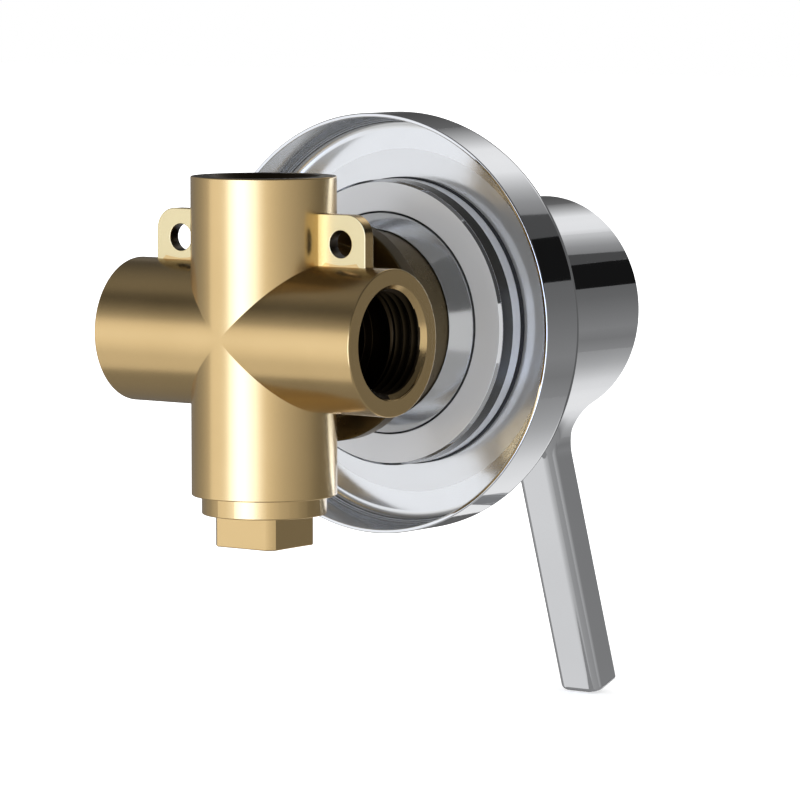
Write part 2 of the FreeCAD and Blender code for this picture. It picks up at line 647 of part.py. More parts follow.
def handle():
    """Hub and lever in one casting with a hollow neck, open behind, with the spindle's boss inside."""
    solid = along_y(HUB_R, HUB_BACK, BLANK_FRONT).fuse(lever_blank()).removeSplitter()
    neck = []
    for edge in solid.Edges:
        middle = edge.valueAt((edge.FirstParameter + edge.LastParameter) / 2)
        inside = BLANK_FRONT + SLIP < middle.y < HUB_BACK - SLIP
        if inside and abs(math.hypot(middle.x, middle.z) - HUB_R) < SLIP and middle.z < -HUB_R / 2:
            neck.append(edge)
    solid = trimmed(solid.makeFillet(FLARE_R, neck))
    back = [e for e in solid.Edges if e.Closed and e.BoundBox.YMin > HUB_BACK - SLIP]
    solid = solid.makeChamfer(HUB_EDGE, back)
    floor = HUB_FRONT + HUB_FACE
    solid = solid.cut(along_y(HUB_BORE_R, HUB_BACK, floor))
    solid = solid.fuse(along_y(HANDLE_BOSS_R, HANDLE_BOSS_BACK, floor))
    half = SPINDLE_SQUARE / 2 + SLIP
    socket = block((-half, half), (SPINDLE_END - SLIP, HANDLE_BOSS_BACK), (-half, half))
    grub = round_bar(GRUB_R, V(0, GRUB_Y, 0), V(0, GRUB_Y, -HANDLE_BOSS_R))
    access = round_bar(CAP_R, V(0, GRUB_Y, -HUB_BORE_R + CAP_THICK), V(0, GRUB_Y, -HUB_R))
    return solid.cut([socket, grub, access]).removeSplitter()


def grub_screw():
    """Grub screw with a hexagon socket, tight on the spindle's lower flat."""
    top = -SPINDLE_SQUARE / 2
    screw = round_bar(GRUB_R, V(0, GRUB_Y, top), V(0, GRUB_Y, top - GRUB_LENGTH))
    corner_r = GRUB_KEY / 2 / math.cos(math.radians(30))
    corners = []
    for i in range(7):
        angle = math.radians(60 * i)
        corners.append(V(corner_r * math.cos(angle), GRUB_Y + corner_r * math.sin(angle), top - GRUB_LENGTH))
    key = Part.Face(Part.makePolygon(corners)).extrude(Z_AXIS * GRUB_KEY)
    return screw.cut(key)


def screw_cap():
    """Small plug that closes the grub screw's way in."""
    low = -HUB_R + CAP_RECESS
    return round_bar(CAP_R, V(0, GRUB_Y, low + CAP_THICK), V(0, GRUB_Y, low))


def build():
    """Every sub-part by its node name."""
    parts = {
        "valve_body": valve_body(),
        "bottom_plug": bottom_plug(),
        "bottom_plug_seal": bottom_plug_seal(),
        "cartridge_base": cartridge_base(),
        "cartridge_housing": cartridge_housing(),
        "fixed_disc": fixed_disc(),
        "moving_disc": moving_disc(),
        "disc_carrier": disc_carrier(),
        "turret": turret(),
        "turret_seal": turret_seal(),
        "limit_ring": limit_ring(),
        "pivot_pin": pivot_pin(),
        "spindle": spindle(),
        "cartridge_nut": cartridge_nut(),
        "sleeve": sleeve(),
        "wall_plate": plate(),
        "plate_collar": plate_collar(),
        "plate_gasket": plate_gasket(),
        "plate_seal": plate_seal(),
        "handle": handle(),
        "grub_screw": grub_screw(),
        "screw_cap": screw_cap(),
    }
    parts.update(base_seals())
    parts.update(disc_seals())
    return parts


os.makedirs("parts", exist_ok=True)
print("disc travel", round(DISC_TRAVEL, 4), "per radian", round(DISC_TRAVEL / LIFT_RAD, 4))
for name, shape in build().items():
    solids = shape.Solids
    box = shape.BoundBox
    print(name, "valid", shape.isValid(), "solids", len(solids), "volume", round(shape.Volume, 1),
          "x", round(box.XMin, 2), round(box.XMax, 2), "y", round(box.YMin, 2), round(box.YMax, 2),
          "z", round(box.ZMin, 2), round(box.ZMax, 2))
    shape = solids[0] if len(solids) == 1 else shape
    shape.exportStep(os.path.join("parts", name + ".step"))
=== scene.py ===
# %% [markdown]
# # A concealed shower mixer, lit in a small studio
#
# The object is the working half of a shower valve that disappears into the wall. A brass cross takes
# hot and cold water in at its sides and sends it out at the top. A chromed sleeve, a dished wall plate
# and a lever are all that shows once the wall is tiled.
#
# The solids come from the CAD model and are loaded first, as a frame that nothing here may move. Then
# each surface that the eye lands on is built again, finer than the CAD mesh: a shape is a function of
# two parameters, worked out for a whole grid of points at once. Lengths are in millimetres until a mesh
# is made, because that is how a fitter would measure them.

import json
import math

import bmesh
import bpy
import numpy as np
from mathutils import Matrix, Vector


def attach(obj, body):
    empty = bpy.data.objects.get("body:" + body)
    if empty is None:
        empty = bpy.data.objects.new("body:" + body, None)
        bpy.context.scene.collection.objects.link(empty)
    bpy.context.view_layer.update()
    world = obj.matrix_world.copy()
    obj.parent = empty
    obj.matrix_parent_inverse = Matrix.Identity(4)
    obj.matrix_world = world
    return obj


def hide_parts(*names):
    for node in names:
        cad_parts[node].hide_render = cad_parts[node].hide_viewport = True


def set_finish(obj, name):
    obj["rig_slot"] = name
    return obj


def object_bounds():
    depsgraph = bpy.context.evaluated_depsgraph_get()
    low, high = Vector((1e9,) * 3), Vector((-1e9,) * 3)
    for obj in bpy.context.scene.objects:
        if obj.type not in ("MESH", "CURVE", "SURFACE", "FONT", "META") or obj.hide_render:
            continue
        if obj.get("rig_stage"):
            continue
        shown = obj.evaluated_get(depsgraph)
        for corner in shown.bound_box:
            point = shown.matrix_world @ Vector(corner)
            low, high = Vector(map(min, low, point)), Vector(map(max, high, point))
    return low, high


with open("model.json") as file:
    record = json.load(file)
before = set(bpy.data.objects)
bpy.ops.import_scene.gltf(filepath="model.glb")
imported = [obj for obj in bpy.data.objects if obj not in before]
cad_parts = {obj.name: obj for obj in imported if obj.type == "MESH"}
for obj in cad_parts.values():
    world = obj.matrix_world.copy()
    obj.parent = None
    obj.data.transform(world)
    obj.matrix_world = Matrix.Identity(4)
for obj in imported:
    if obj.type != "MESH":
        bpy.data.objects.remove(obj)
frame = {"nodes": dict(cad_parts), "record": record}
cad_low, cad_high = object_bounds()

# %% [markdown]
# ## From a grid of points to a mesh
#
# A grid is an array of points with rows and columns. Four neighbours make a face. Grids that belong to
# one piece are laid edge to edge with the same points along the shared line, so merging the doubles
# closes the seams, and Blender can then turn every face outwards. Edges sharper than a set angle stay
# sharp, and a weighted normal modifier keeps the large flats flat right up to the small rounds beside
# them, which matters on polished metal more than anything else.

# %% Grids, skins and pieces
MM = 0.001
PARTS = {}


def quads(rows, columns):
    """Corner numbers of every face of a grid: a point, the next in its row, and the two in the row after."""
    row, column = np.meshgrid(np.arange(rows - 1), np.arange(columns - 1), indexing="ij")
    first = row * columns + column
    return np.stack([first, first + 1, first + columns + 1, first + columns], axis=-1).reshape(-1, 4)


def skin(name, grids, body, slot, node, sharp=28.0):
    """One piece from grids of points in millimetres, seams merged and faces outwards, for a CAD node."""
    points, faces, count = [], [], 0
    for grid in grids:
        points.append(grid.reshape(-1, 3) * MM)
        faces.append(quads(*grid.shape[:2]) + count)
        count += grid.shape[0] * grid.shape[1]
    mesh = bpy.data.meshes.new(name)
    mesh.from_pydata(np.concatenate(points), [], np.concatenate(faces))
    work = bmesh.new()
    work.from_mesh(mesh)
    bmesh.ops.remove_doubles(work, verts=work.verts, dist=2e-6)
    bmesh.ops.dissolve_degenerate(work, edges=work.edges, dist=1e-7)
    bmesh.ops.recalc_face_normals(work, faces=work.faces)
    open_edges = sum(1 for edge in work.edges if len(edge.link_faces) != 2)
    work.to_mesh(mesh)
    work.free()
    mesh.shade_smooth()
    mesh.set_sharp_from_angle(angle=math.radians(sharp))
    piece = bpy.data.objects.new(name, mesh)
    bpy.context.scene.collection.objects.link(piece)
    even = piece.modifiers.new("even shading", "WEIGHTED_NORMAL")
    even.keep_sharp = True
    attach(piece, body)
    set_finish(piece, slot)
    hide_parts(node)
    PARTS[name] = piece
    print(f"{name}: {len(mesh.vertices)} points, {len(mesh.polygons)} faces, {open_edges} open edges")
    return piece


# %% [markdown]
# ## Turned pieces
#
# Most of a valve is made on a lathe, so most of it is an outline carried round an axis. An outline is a
# list of corners (radius, place along the axis, rounding). The rounding swaps a corner for an arc that
# touches both sides, and a short straight step on each side of the arc holds the shading of the flats.

# %% Outlines and turning
def outline(corners, steps=5, hold=0.08, closed=False):
    """Points of an outline whose corners are rounded.

    A corner with round r becomes an arc of radius r. The arc starts r / tan(half the corner's angle)
    before the corner, and its centre lies on the line that halves the angle.
    """
    points = []
    count = len(corners)
    for i, (radius, along, rounding) in enumerate(corners):
        here = np.array([radius, along], float)
        if rounding == 0 or (not closed and i in (0, count - 1)):
            points.append(here)
            continue
        before = np.array(corners[i - 1][:2], float) - here
        after = np.array(corners[(i + 1) % count][:2], float) - here
        before /= np.linalg.norm(before)
        after /= np.linalg.norm(after)
        half = math.acos(np.clip(before @ after, -1, 1)) / 2
        reach = rounding / math.tan(half)
        middle = before + after
        centre = here + middle / np.linalg.norm(middle) * rounding / math.sin(half)
        start = here + before * reach - centre
        end = here + after * reach - centre
        turn = math.pi - 2 * half
        share = np.linspace(0, 1, steps + 1)[:, None]
        arc = (np.sin((1 - share) * turn) * start + np.sin(share * turn) * end) / math.sin(turn)
        points.append(here + before * (reach + hold))
        points.extend(centre + arc)
        points.append(here + after * (reach + hold))
    if closed:
        points.append(points[0])
    return np.array(points)


def arc_points(centre, radius, start, end, steps):
    """Points of an arc in the outline's plane, as (radius, along), between two angles in degrees."""
    angle = np.radians(np.linspace(start, end, steps))
    return np.stack([centre[0] + radius * np.cos(angle), centre[1] + radius * np.sin(angle)], axis=-1)


def round_angles(count):
    """Angles of a full turn, with the last equal to the first."""
    return np.linspace(-math.pi, math.pi, count + 1)


def turned_y(line, angles):
    """An outline (radius, y) carried round the Y axis: x = radius sin(angle), z = -radius cos(angle)."""
    radius, along = line[:, 0, None], line[:, 1, None]
    return np.stack([radius * np.sin(angles), along + 0 * angles, -radius * np.cos(angles)], axis=-1)


def turned_z(line, angles, centre_y):
    """An outline (radius, z) carried round an upright axis through (0, centre_y)."""
    radius, along = line[:, 0, None], line[:, 1, None]
    y = centre_y + radius * np.cos(angles)
    return np.stack([radius * np.sin(angles), y, along + 0 * angles], axis=-1)


# %% [markdown]
# ## The brass body: four arms
#
# The body is a cross of two equal bars. Where two equal bars cross, they meet in a mitre that lies in
# the diagonal planes, so an arm starts as far out as it is wide at that angle: t = r |sin(angle)|. In
# front, towards the room, a round boss takes over, and there the arm starts at the boss instead.
# Everything that lies on one arm, from the mitre over its end face and down the thread, is one grid,
# because every ring of it uses the same angles.
#
# The angles are chosen so that the arms and the boss share their points: even steps round the boss in
# front, even steps round the arm behind, and a few between.

# %% Angles that the arms and the boss share
CROSS_Y = 34.0
ARM_R = 13.5
ARM_REACH = 29.5
BOSS_R = 16.5

corner = math.pi - math.asin(BOSS_R * math.sqrt(0.5) / ARM_R)
boss_steps = np.radians(np.linspace(45, 0, 21))
half_turn = np.concatenate([
    np.radians(np.linspace(0, 90, 37)),
    np.linspace(math.pi / 2, corner, 9)[1:],
    math.pi - np.arcsin(BOSS_R * np.sin(boss_steps[1:]) / ARM_R),
])
arm_angles = np.concatenate([-half_turn[::-1], half_turn[1:]])
boss_angles = round_angles(160)


def arm_start(angles):
    """Distance from the crossing at which an arm's skin begins: r |sin(angle)|, or the boss in front."""
    across = ARM_R * np.abs(np.sin(angles))
    on_boss = np.abs(angles) > corner
    return np.where(on_boss, np.sqrt(BOSS_R ** 2 - across ** 2), across)


def on_arm(direction, across, reach, radius):
    """Points of an arm: the crossing, plus direction x reach, plus radius round the arm's own axis."""
    reach, radius = np.broadcast_arrays(np.asarray(reach, float), np.asarray(radius, float))
    lateral = radius * np.sin(arm_angles)
    behind = radius * np.cos(arm_angles)
    points = np.multiply.outer(reach, direction) + np.multiply.outer(lateral, across)
    points[..., 1] += behind + CROSS_Y
    return points


print("columns round an arm:", len(arm_angles), "round the boss:", len(boss_angles))

# %% [markdown]
# ## Half inch pipe thread
#
# An inside thread is a groove that winds down the bore. Its rows follow the helix: a row is a place s
# along an unrolled thread, and at each angle it sits at depth s - pitch x angle / full turn. The groove's
# depth depends on s alone, so every flank is one clean line. Rows that would fall outside the mouth or
# past the last turn are held at that end, where they melt into one point when doubles are merged. The
# lead-in is a cone at 45 degrees, and the larger of cone and thread wins.

# %% Thread rows
PITCH = 1.814
MINOR_R = 9.32
MAJOR_R = 10.42
MOUTH_R = 10.57
THREAD_LENGTH = 7.4

tooth_phase = np.array([0, 0.07, 0.13, 0.37, 0.43, 0.5, 0.57, 0.63, 0.87, 0.93])
tooth_height = np.array([0, 0.03, 0.14, 0.86, 0.97, 1, 0.97, 0.86, 0.14, 0.03])


def thread_rows(hand):
    """Depth below the port face and radius of every thread row, at every angle of the arm."""
    turns = np.arange(-1, math.ceil(THREAD_LENGTH / PITCH) + 1)
    along = ((turns[:, None] + tooth_phase) * PITCH).ravel()
    height = np.tile(tooth_height, len(turns))
    depth = np.clip(along[:, None] - hand * PITCH * arm_angles / (2 * math.pi), 0, THREAD_LENGTH)
    fade = np.clip((THREAD_LENGTH - depth) / 1.1, 0, 1)
    groove = MINOR_R + (MAJOR_R - MINOR_R) * height[:, None] * fade
    return depth, np.maximum(groove, MOUTH_R - depth)


# %% [markdown]
# One arm is then a list of rings from the outside in: the bar's skin, with short steps near the mitre,
# the rounded rim, the flat end face, the thread, and the stepped bore behind it. The side bores stop
# short of the middle. The upright ones go through, so top and bottom share a water way.

# %% Arms
BORE_STEP = 18.0
SIDE_BORE_R = 7.0
SIDE_BORE_END = 7.6
UPRIGHT_BORE_R = 4.8


def arm(direction, across, bore_r, bore_end):
    """All rings of one arm, from the mitre to the bottom of its bore."""
    direction, across = np.array(direction, float), np.array(across, float)
    hand = -np.cross(across, [0, 1, 0]) @ direction
    start = arm_start(arm_angles)
    share = np.array([0, 0.004, 0.012, 0.035, 0.1, 0.25, 0.5, 0.8])[:, None]
    shoulder = ARM_REACH - 1.0
    skin_reach = start + (shoulder - start) * share
    rim = outline([(ARM_R, shoulder, 0), (ARM_R, ARM_REACH, 0.22), (MOUTH_R + 0.06, ARM_REACH, 0)])
    depth, groove = thread_rows(hand)
    well = outline([
        (MINOR_R, ARM_REACH - THREAD_LENGTH, 0),
        (MINOR_R, BORE_STEP, 0.1),
        (bore_r, BORE_STEP, 0.1),
        (bore_r, bore_end, 0.1 if bore_end else 0),
        (0.0, bore_end, 0),
    ])
    if bore_end == 0:
        well = well[:-1]
    columns = np.ones_like(arm_angles)
    skin_r = ARM_R * np.ones_like(skin_reach)
    reach = [skin_reach, rim[:, 1, None] * columns, ARM_REACH - depth, well[1:, 1, None] * columns]
    radius = [skin_r, rim[:, 0, None] * columns, groove, well[1:, 0, None] * columns]
    return on_arm(direction, across, np.concatenate(reach), np.concatenate(radius))


arms = [
    arm((1, 0, 0), (0, 0, 1), SIDE_BORE_R, SIDE_BORE_END),
    arm((-1, 0, 0), (0, 0, 1), SIDE_BORE_R, SIDE_BORE_END),
    arm((0, 0, 1), (1, 0, 0), UPRIGHT_BORE_R, 0.0),
    arm((0, 0, -1), (1, 0, 0), UPRIGHT_BORE_R, 0.0),
]
print("arms:", len(arms), "grids of", arms[0].shape[:2], "and", arms[2].shape[:2], "points")

# %% [markdown]
# ## Boss, flange and neck
#
# The boss is a round bar that stands on the cross. Its upper edge is where it dives into the nearest
# arm, y = 34 - sqrt(r^2 - m^2), with m the smaller of |x| and |z| on the boss. From there down it is
# plain lathe work: flange, neck, the seat of the nut, and the chamber that holds the cartridge.

# %% Boss and stem
boss_x = BOSS_R * np.sin(boss_angles)
boss_z = -BOSS_R * np.cos(boss_angles)
nearest = np.minimum(np.abs(boss_x), np.abs(boss_z))
boss_top = CROSS_Y - np.sqrt(ARM_R ** 2 - nearest ** 2)
boss_foot = 16.5
FLANGE_TOP = 15.2
FLANGE_FOOT = 11.7
NECK_R = 18.1
NECK_END = -8.0
share = np.array([0, 0.02, 0.06, 0.2, 0.5, 0.8, 1])[:, None]
boss_y = boss_top + (boss_foot - boss_top) * share
boss = np.stack([boss_x + 0 * boss_y, boss_y, boss_z + 0 * boss_y], axis=-1)
stem = outline([
    (BOSS_R, boss_foot, 0),
    (BOSS_R, FLANGE_TOP, 0.35),
    (21.2, FLANGE_TOP, 0.25),
    (21.2, FLANGE_FOOT, 0.25),
    (NECK_R, FLANGE_FOOT, 0.3),
    (NECK_R, NECK_END, 0.4),
    (15.9, NECK_END, 0.4),
    (15.9, 2.0, 0.1),
    (14.2, 2.0, 0.1),
    (14.2, 19.0, 0.3),
    (0.0, 19.0, 0),
])

# %% [markdown]
# ## Ears
#
# Two flat ears sit in the angles above the side arms and take the screws that hold the valve. An ear is
# a ring: its section, out along one face and back along the other, goes once round the hole. Each point
# of the outer edge has a partner on the hole, on the same ray from the hole's middle.

# %% Ears
EAR_THICK = 2.5
EAR_BEVEL = 0.14
EAR_LOW = np.array([13.3, 12.4])
EAR_HIGH = np.array([24.2, 23.0])
HOLE = np.array([18.6, 17.6])
HOLE_R = 2.5


def ear_edge(inset):
    """The ear's edge, pulled in by an inset, with the outer top corner rounded at 4 mm."""
    low, high = EAR_LOW + inset, EAR_HIGH - inset
    corners = [(low[0], low[1], 0), (high[0], low[1], 0.3 - inset), (high[0], high[1], 4.0 - inset),
               (low[0], high[1], 0.3 - inset)]
    return outline(corners, steps=8, closed=True)


def walk(points, places):
    """Points at fractional places along a polyline, a straight mix of the two neighbours."""
    whole = np.arange(len(points))
    return np.stack([np.interp(places, whole, points[:, 0]), np.interp(places, whole, points[:, 1])], axis=-1)


def even_places(points, step):
    """Places along a polyline that keep every corner and leave no stretch longer than the step."""
    length = np.linalg.norm(np.diff(points, axis=0), axis=1)
    parts = [i + np.arange(n) / n for i, n in enumerate(np.maximum(1, np.ceil(length / step).astype(int)))]
    return np.append(np.concatenate(parts), len(points) - 1)


def ear(side):
    """Ring of sections round the hole: the hole's wall, one face, the outer edge, the other face."""
    places = even_places(ear_edge(0), 0.5)
    bevel = np.radians([0, 30, 60, 90])
    rings = []
    for face, order in ((1, 1), (-1, -1)):
        level = EAR_THICK / 2 - EAR_BEVEL * (1 - np.sin(bevel))
        spread = HOLE_R + EAR_BEVEL * (1 - np.cos(bevel))
        edges = [walk(ear_edge(EAR_BEVEL * (1 - np.cos(b))), places) for b in bevel]
        ray = edges[-1] - HOLE
        ray /= np.linalg.norm(ray, axis=1)[:, None]
        hole = [(HOLE + ray * r, face * y) for r, y in zip(spread, level)]
        inner, outer = hole[-1][0], edges[-1]
        flat = [(inner + (outer - inner) * s, face * EAR_THICK / 2) for s in (0.04, 0.5, 0.96)]
        rim = [(edge, face * y) for edge, y in zip(edges[::-1], level[::-1])]
        rings.extend((hole + flat + rim)[::order])
    rings.append(rings[0])
    return np.array([
        np.stack([side * plan[:, 0], CROSS_Y + y + 0 * plan[:, 0], plan[:, 1]], axis=-1)
        for plan, y in rings
    ])


valve_body = skin(
    "valve_body_casting",
    arms + [boss, turned_y(stem, boss_angles), ear(1), ear(-1)],
    "valve", "satin_brass", "valve_body",
)

# %% [markdown]
# ## Screwed plug
#
# The fourth port is closed by a plug: a shank with a groove for its ring, a round shoulder on the port
# face, and a square for the spanner that has been turned round at its corners. The square's radius at an
# angle is the smaller of the turned radius and half the square over the larger of |sin| and |cos|.

# %% Plug
SQUARE = 14.0
TURNED_R = 9.0

flat_end = math.acos(SQUARE / 2 / TURNED_R)
turned_part = np.linspace(flat_end, math.pi / 2 - flat_end, 7)[1:-1]
quarter = np.concatenate([np.linspace(-flat_end, flat_end, 9), turned_part])
plug_angles = np.concatenate([quarter + k * math.pi / 2 for k in range(4)])
plug_angles = np.append(plug_angles, plug_angles[0] + 2 * math.pi)
fine = np.unique(np.concatenate([plug_angles, np.linspace(plug_angles[0], plug_angles[-1], 97)]).round(9))
square_r = np.minimum(TURNED_R, SQUARE / 2 / np.maximum(np.abs(np.sin(fine)), np.abs(np.cos(fine))))

shank = outline([
    (0.0, -20.5, 0),
    (9.22, -20.5, 0.6),
    (9.22, -25.7, 0.08),
    (7.85, -25.7, 0.08),
    (7.85, -27.3, 0.08),
    (9.22, -27.3, 0.08),
    (9.22, -29.5, 0.05),
    (11.6, -29.5, 0.15),
    (11.6, -33.0, 0.22),
    (TURNED_R + 0.1, -33.0, 0),
])
HEAD_END = -39.0
HEAD_ROUND = 0.25
round_off = [
    (1.0, HEAD_ROUND * (1 - math.cos(b)), HEAD_END + HEAD_ROUND * (1 - math.sin(b)))
    for b in np.radians([0, 30, 60, 90])
]
head_rows = [(1.0, 0, -33.0), (1.0, 0, -33.1), (1.0, 0, -36.0), (1.0, 0, -38.7)] + round_off
head_rows += [(0.94, HEAD_ROUND, HEAD_END), (0.5, 0.2, HEAD_END), (0.0, 0, HEAD_END)]


def head_ring(share, inset, z):
    """One ring of the head: a share of the square's radius, pulled in by an inset, at a height."""
    radius = square_r * share - inset
    return np.stack([radius * np.sin(fine), CROSS_Y + radius * np.cos(fine), z + 0 * fine], axis=-1)


head = np.array([head_ring(*row) for row in head_rows])
shank_grid = turned_z(shank, fine, CROSS_Y)
plug_grid = np.concatenate([shank_grid, head])
skin("bottom_plug_turned", [plug_grid], "valve", "satin_brass", "bottom_plug")

# %% [markdown]
# ## Chromed sleeve
#
# The sleeve covers the neck. It has a cone at the wall end, a straight part on which the wall plate
# slides, and a dome whose middle is the pivot of the lever, so that the hub can tilt round it.

# %% Sleeve
PIVOT_Y = -16.0
SHOULDER_Y = -14.0
DOME_R = 19.0
DOME_WALL = 1.8
DOME_MOUTH = 13.0


def dome(radius, start, end, steps):
    """Corners on a circle about the pivot, between two angles in degrees."""
    return [(r, y, 0) for r, y in arc_points((0, PIVOT_Y), radius, start, end, steps)]


def mouth_angle(radius):
    """Angle at which a circle about the pivot comes down to the mouth: -acos(mouth / radius), in degrees."""
    return -math.degrees(math.acos(DOME_MOUTH / radius))


INNER_R = DOME_R - DOME_WALL
shoulder_angle = math.degrees(math.asin((SHOULDER_Y - PIVOT_Y) / DOME_R))
outside = dome(DOME_R, shoulder_angle, mouth_angle(DOME_R), 28)
inside = dome(INNER_R, mouth_angle(INNER_R), 0, 20)
sleeve_line = outline([
    (18.2, 0.8, 0.03),
    (18.35, 0.8, 0.05),
    (21.0, -3.1, 0.25),
    (21.0, -13.2, 0.15),
    (20.2, SHOULDER_Y, 0.15),
] + outside + inside + [
    (17.2, -9.5, 0.1),
    (18.2, -9.5, 0.1),
], closed=True)
sleeve_grid = turned_y(sleeve_line, round_angles(192))
sleeve = skin("sleeve_polished", [sleeve_grid], "valve", "polished_chrome", "sleeve")

# %% [markdown]
# ## Wall plate, its collar and gasket
#
# The plate is pressed from thin sheet: a face, a rounded shoulder, and a skirt whose edge meets the
# tiles. From behind it is a dish, and the dish mirrors the brass in front of it. A collar is screwed on
# the plate's short neck from behind, with a thin black gasket under it. The dish's floor and the collar's
# edge each have one point without a bend. It gives the mesh a ring of edges where the finish changes.

# %% Plate
DISH_R = 39.3
DISH_Y = -10.8
TURNED_DISH_R = 33.0

plate_line = outline([
    (21.35, -12.2, 0.3),
    (40.1, -12.2, 2.6),
    (40.1, 0.0, 0.22),
    (DISH_R, 0.0, 0.22),
    (DISH_R, DISH_Y, 2.5),
    (TURNED_DISH_R, DISH_Y, 0),
    (23.0, DISH_Y, 0.2),
    (23.0, -6.0, 0.2),
    (21.35, -6.0, 0.2),
], steps=10, closed=True)
plate_grid = turned_y(plate_line, round_angles(240))
wall_plate = skin("wall_plate_pressed", [plate_grid], "cover", "polished_chrome", "wall_plate")

# %% Collar and gasket
COLLAR_R = 27.35
COLLAR_END = -3.4
COLLAR_BAND = -7.2

collar_line = outline([
    (21.3, COLLAR_END, 0.15),
    (26.85, COLLAR_END, 0.1),
    (COLLAR_R, -3.9, 0.1),
    (COLLAR_R, COLLAR_BAND, 0),
    (COLLAR_R, -9.8, 0.15),
    (23.05, -9.8, 0.1),
    (23.05, -5.95, 0.1),
    (22.65, -5.95, 0.1),
    (22.65, -4.1, 0.1),
    (21.3, -4.1, 0.1),
], closed=True, steps=4)
collar_grid = turned_y(collar_line, round_angles(192))
plate_collar = skin("plate_collar_turned", [collar_grid], "cover", "polished_chrome", "plate_collar")

gasket_line = outline([
    (23.1, DISH_Y, 0.1),
    (27.6, DISH_Y, 0.2),
    (27.6, -9.8, 0.2),
    (23.1, -9.8, 0.1),
], closed=True, steps=4)
gasket_grid = turned_y(gasket_line, round_angles(160))
skin("plate_gasket_rubber", [gasket_grid], "cover", "black_rubber", "plate_gasket")

# %% [markdown]
# ## The handle: hub, hollow neck and lever
#
# The hub is a turned cup and the lever a bar that leans 19 degrees out of the upright. A ball of radius
# 13.3 mm rolled along the corner between them sweeps the hollow neck. The ball's middle is as far from
# the hub's axis as hub and ball radius together, and as far from the bar's skin as its own radius. That
# gives it in closed form for each point of the bar's section, and the neck is the short arc on the ball
# between its two touching points.
#
# A bar section is described by points p and outward normals n, in the bar's own axes: across (x) and
# forward from its back face. The bar's length runs down from the hub's middle.

# %% Bar axes and the front of the handle
HUB_R = 21.9
HUB_FRONT = -59.0
HUB_BACK = -26.0
BALL = 13.3
LEAN = math.radians(19.0)
BAR_BACK_Y = -42.7
BAR_HALF = 4.9
BAR_THICK = 7.4
BAR_ROUND = 2.3
BAR_LENGTH = 84.5
TIP_ROUND = 1.2
EDGE = 0.4


def on_bar(across, forward, down):
    """Bar axes to the frame: x = across; forward leans up and to the user, down leans out and down."""
    across, forward, down = np.broadcast_arrays(across, forward, down)
    y = BAR_BACK_Y - forward * math.cos(LEAN) - down * math.sin(LEAN)
    z = forward * math.sin(LEAN) - down * math.cos(LEAN)
    return np.stack([across, y, z], axis=-1).astype(float)


def front_y(z):
    """Depth of the handle's front: the hub's flat face above, the bar's leaning face below."""
    return np.minimum(HUB_FRONT, BAR_BACK_Y - BAR_THICK / math.cos(LEAN) + z * math.tan(LEAN))


def edge_y(z):
    """Depth at which the fine chamfer of the front begins."""
    return front_y(z) + EDGE / math.cos(LEAN)


# %% Section of the bar
turn = np.radians(np.linspace(0, 90, 15))
half_flat = BAR_HALF - BAR_ROUND
flat_share = np.linspace(-1, 1, 11)
strip_x = np.concatenate([-half_flat - BAR_ROUND * np.cos(turn), half_flat * flat_share[1:-1],
                          half_flat + BAR_ROUND * np.cos(turn[::-1])])
corner_forward = BAR_ROUND * (1 - np.sin(turn))
strip_forward = np.concatenate([corner_forward, 0 * flat_share[1:-1], corner_forward[::-1]])
strip_nx = np.concatenate([-np.cos(turn), 0 * flat_share[1:-1], np.cos(turn[::-1])])
strip_nf = np.concatenate([-np.sin(turn), 0 * flat_share[1:-1] - 1, -np.sin(turn[::-1])])


def ball_middle(x, forward, nx, nf):
    """Middle of the rolling ball: x + ball nx across, then on the circle hub + ball round the hub's axis."""
    middle_x = x + BALL * nx
    middle_z = -np.sqrt((HUB_R + BALL) ** 2 - middle_x ** 2)
    lifted = forward + BALL * nf
    down = (lifted * math.sin(LEAN) - middle_z) / math.cos(LEAN)
    middle_y = BAR_BACK_Y - lifted * math.cos(LEAN) - down * math.sin(LEAN)
    return np.stack([middle_x, middle_y, middle_z], axis=-1), down


middle, bar_top = ball_middle(strip_x, strip_forward, strip_nx, strip_nf)
to_hub = -np.stack([middle[:, 0], 0 * middle[:, 0], middle[:, 2]], axis=-1) * BALL / (HUB_R + BALL)
to_bar = on_bar(strip_x, strip_forward, bar_top) - middle
opening = np.arccos(np.clip(np.sum(to_hub * to_bar, axis=1) / BALL ** 2, -1, 1))
arc_share = np.linspace(0, 1, 23)[:, None, None]
bend = opening[None, :, None]
along_arc = np.sin((1 - arc_share) * bend) * to_hub + np.sin(arc_share * bend) * to_bar
neck_strip = middle + along_arc / np.sin(bend)
side_angle = math.asin(middle[-1, 0] / (HUB_R + BALL))
print("neck meets the hub at", round(math.degrees(side_angle), 1), "degrees from the bottom")

# %% [markdown]
# The neck's sides, the bar's sides and the hub are drawn out of the same points: a side of the neck is
# its last arc carried forward to the front's edge, and the hub's columns under the neck start at the
# ball's touching points.

# %% Neck sides, bar and tip
forward_share = np.array([0, 0.3, 0.6, 0.85, 0.97, 1])
side_forward = BAR_ROUND + (BAR_THICK - EDGE - BAR_ROUND) * forward_share


def neck_side(arc):
    """One side of the neck: an arc of constant depth drawn forward to the edge of the front."""
    start = arc[:, 1, None]
    y = start + (edge_y(arc[:, 2])[:, None] - start) * forward_share
    return np.stack([arc[:, 0, None] + 0 * y, y, arc[:, 2, None] + 0 * y], axis=-1)


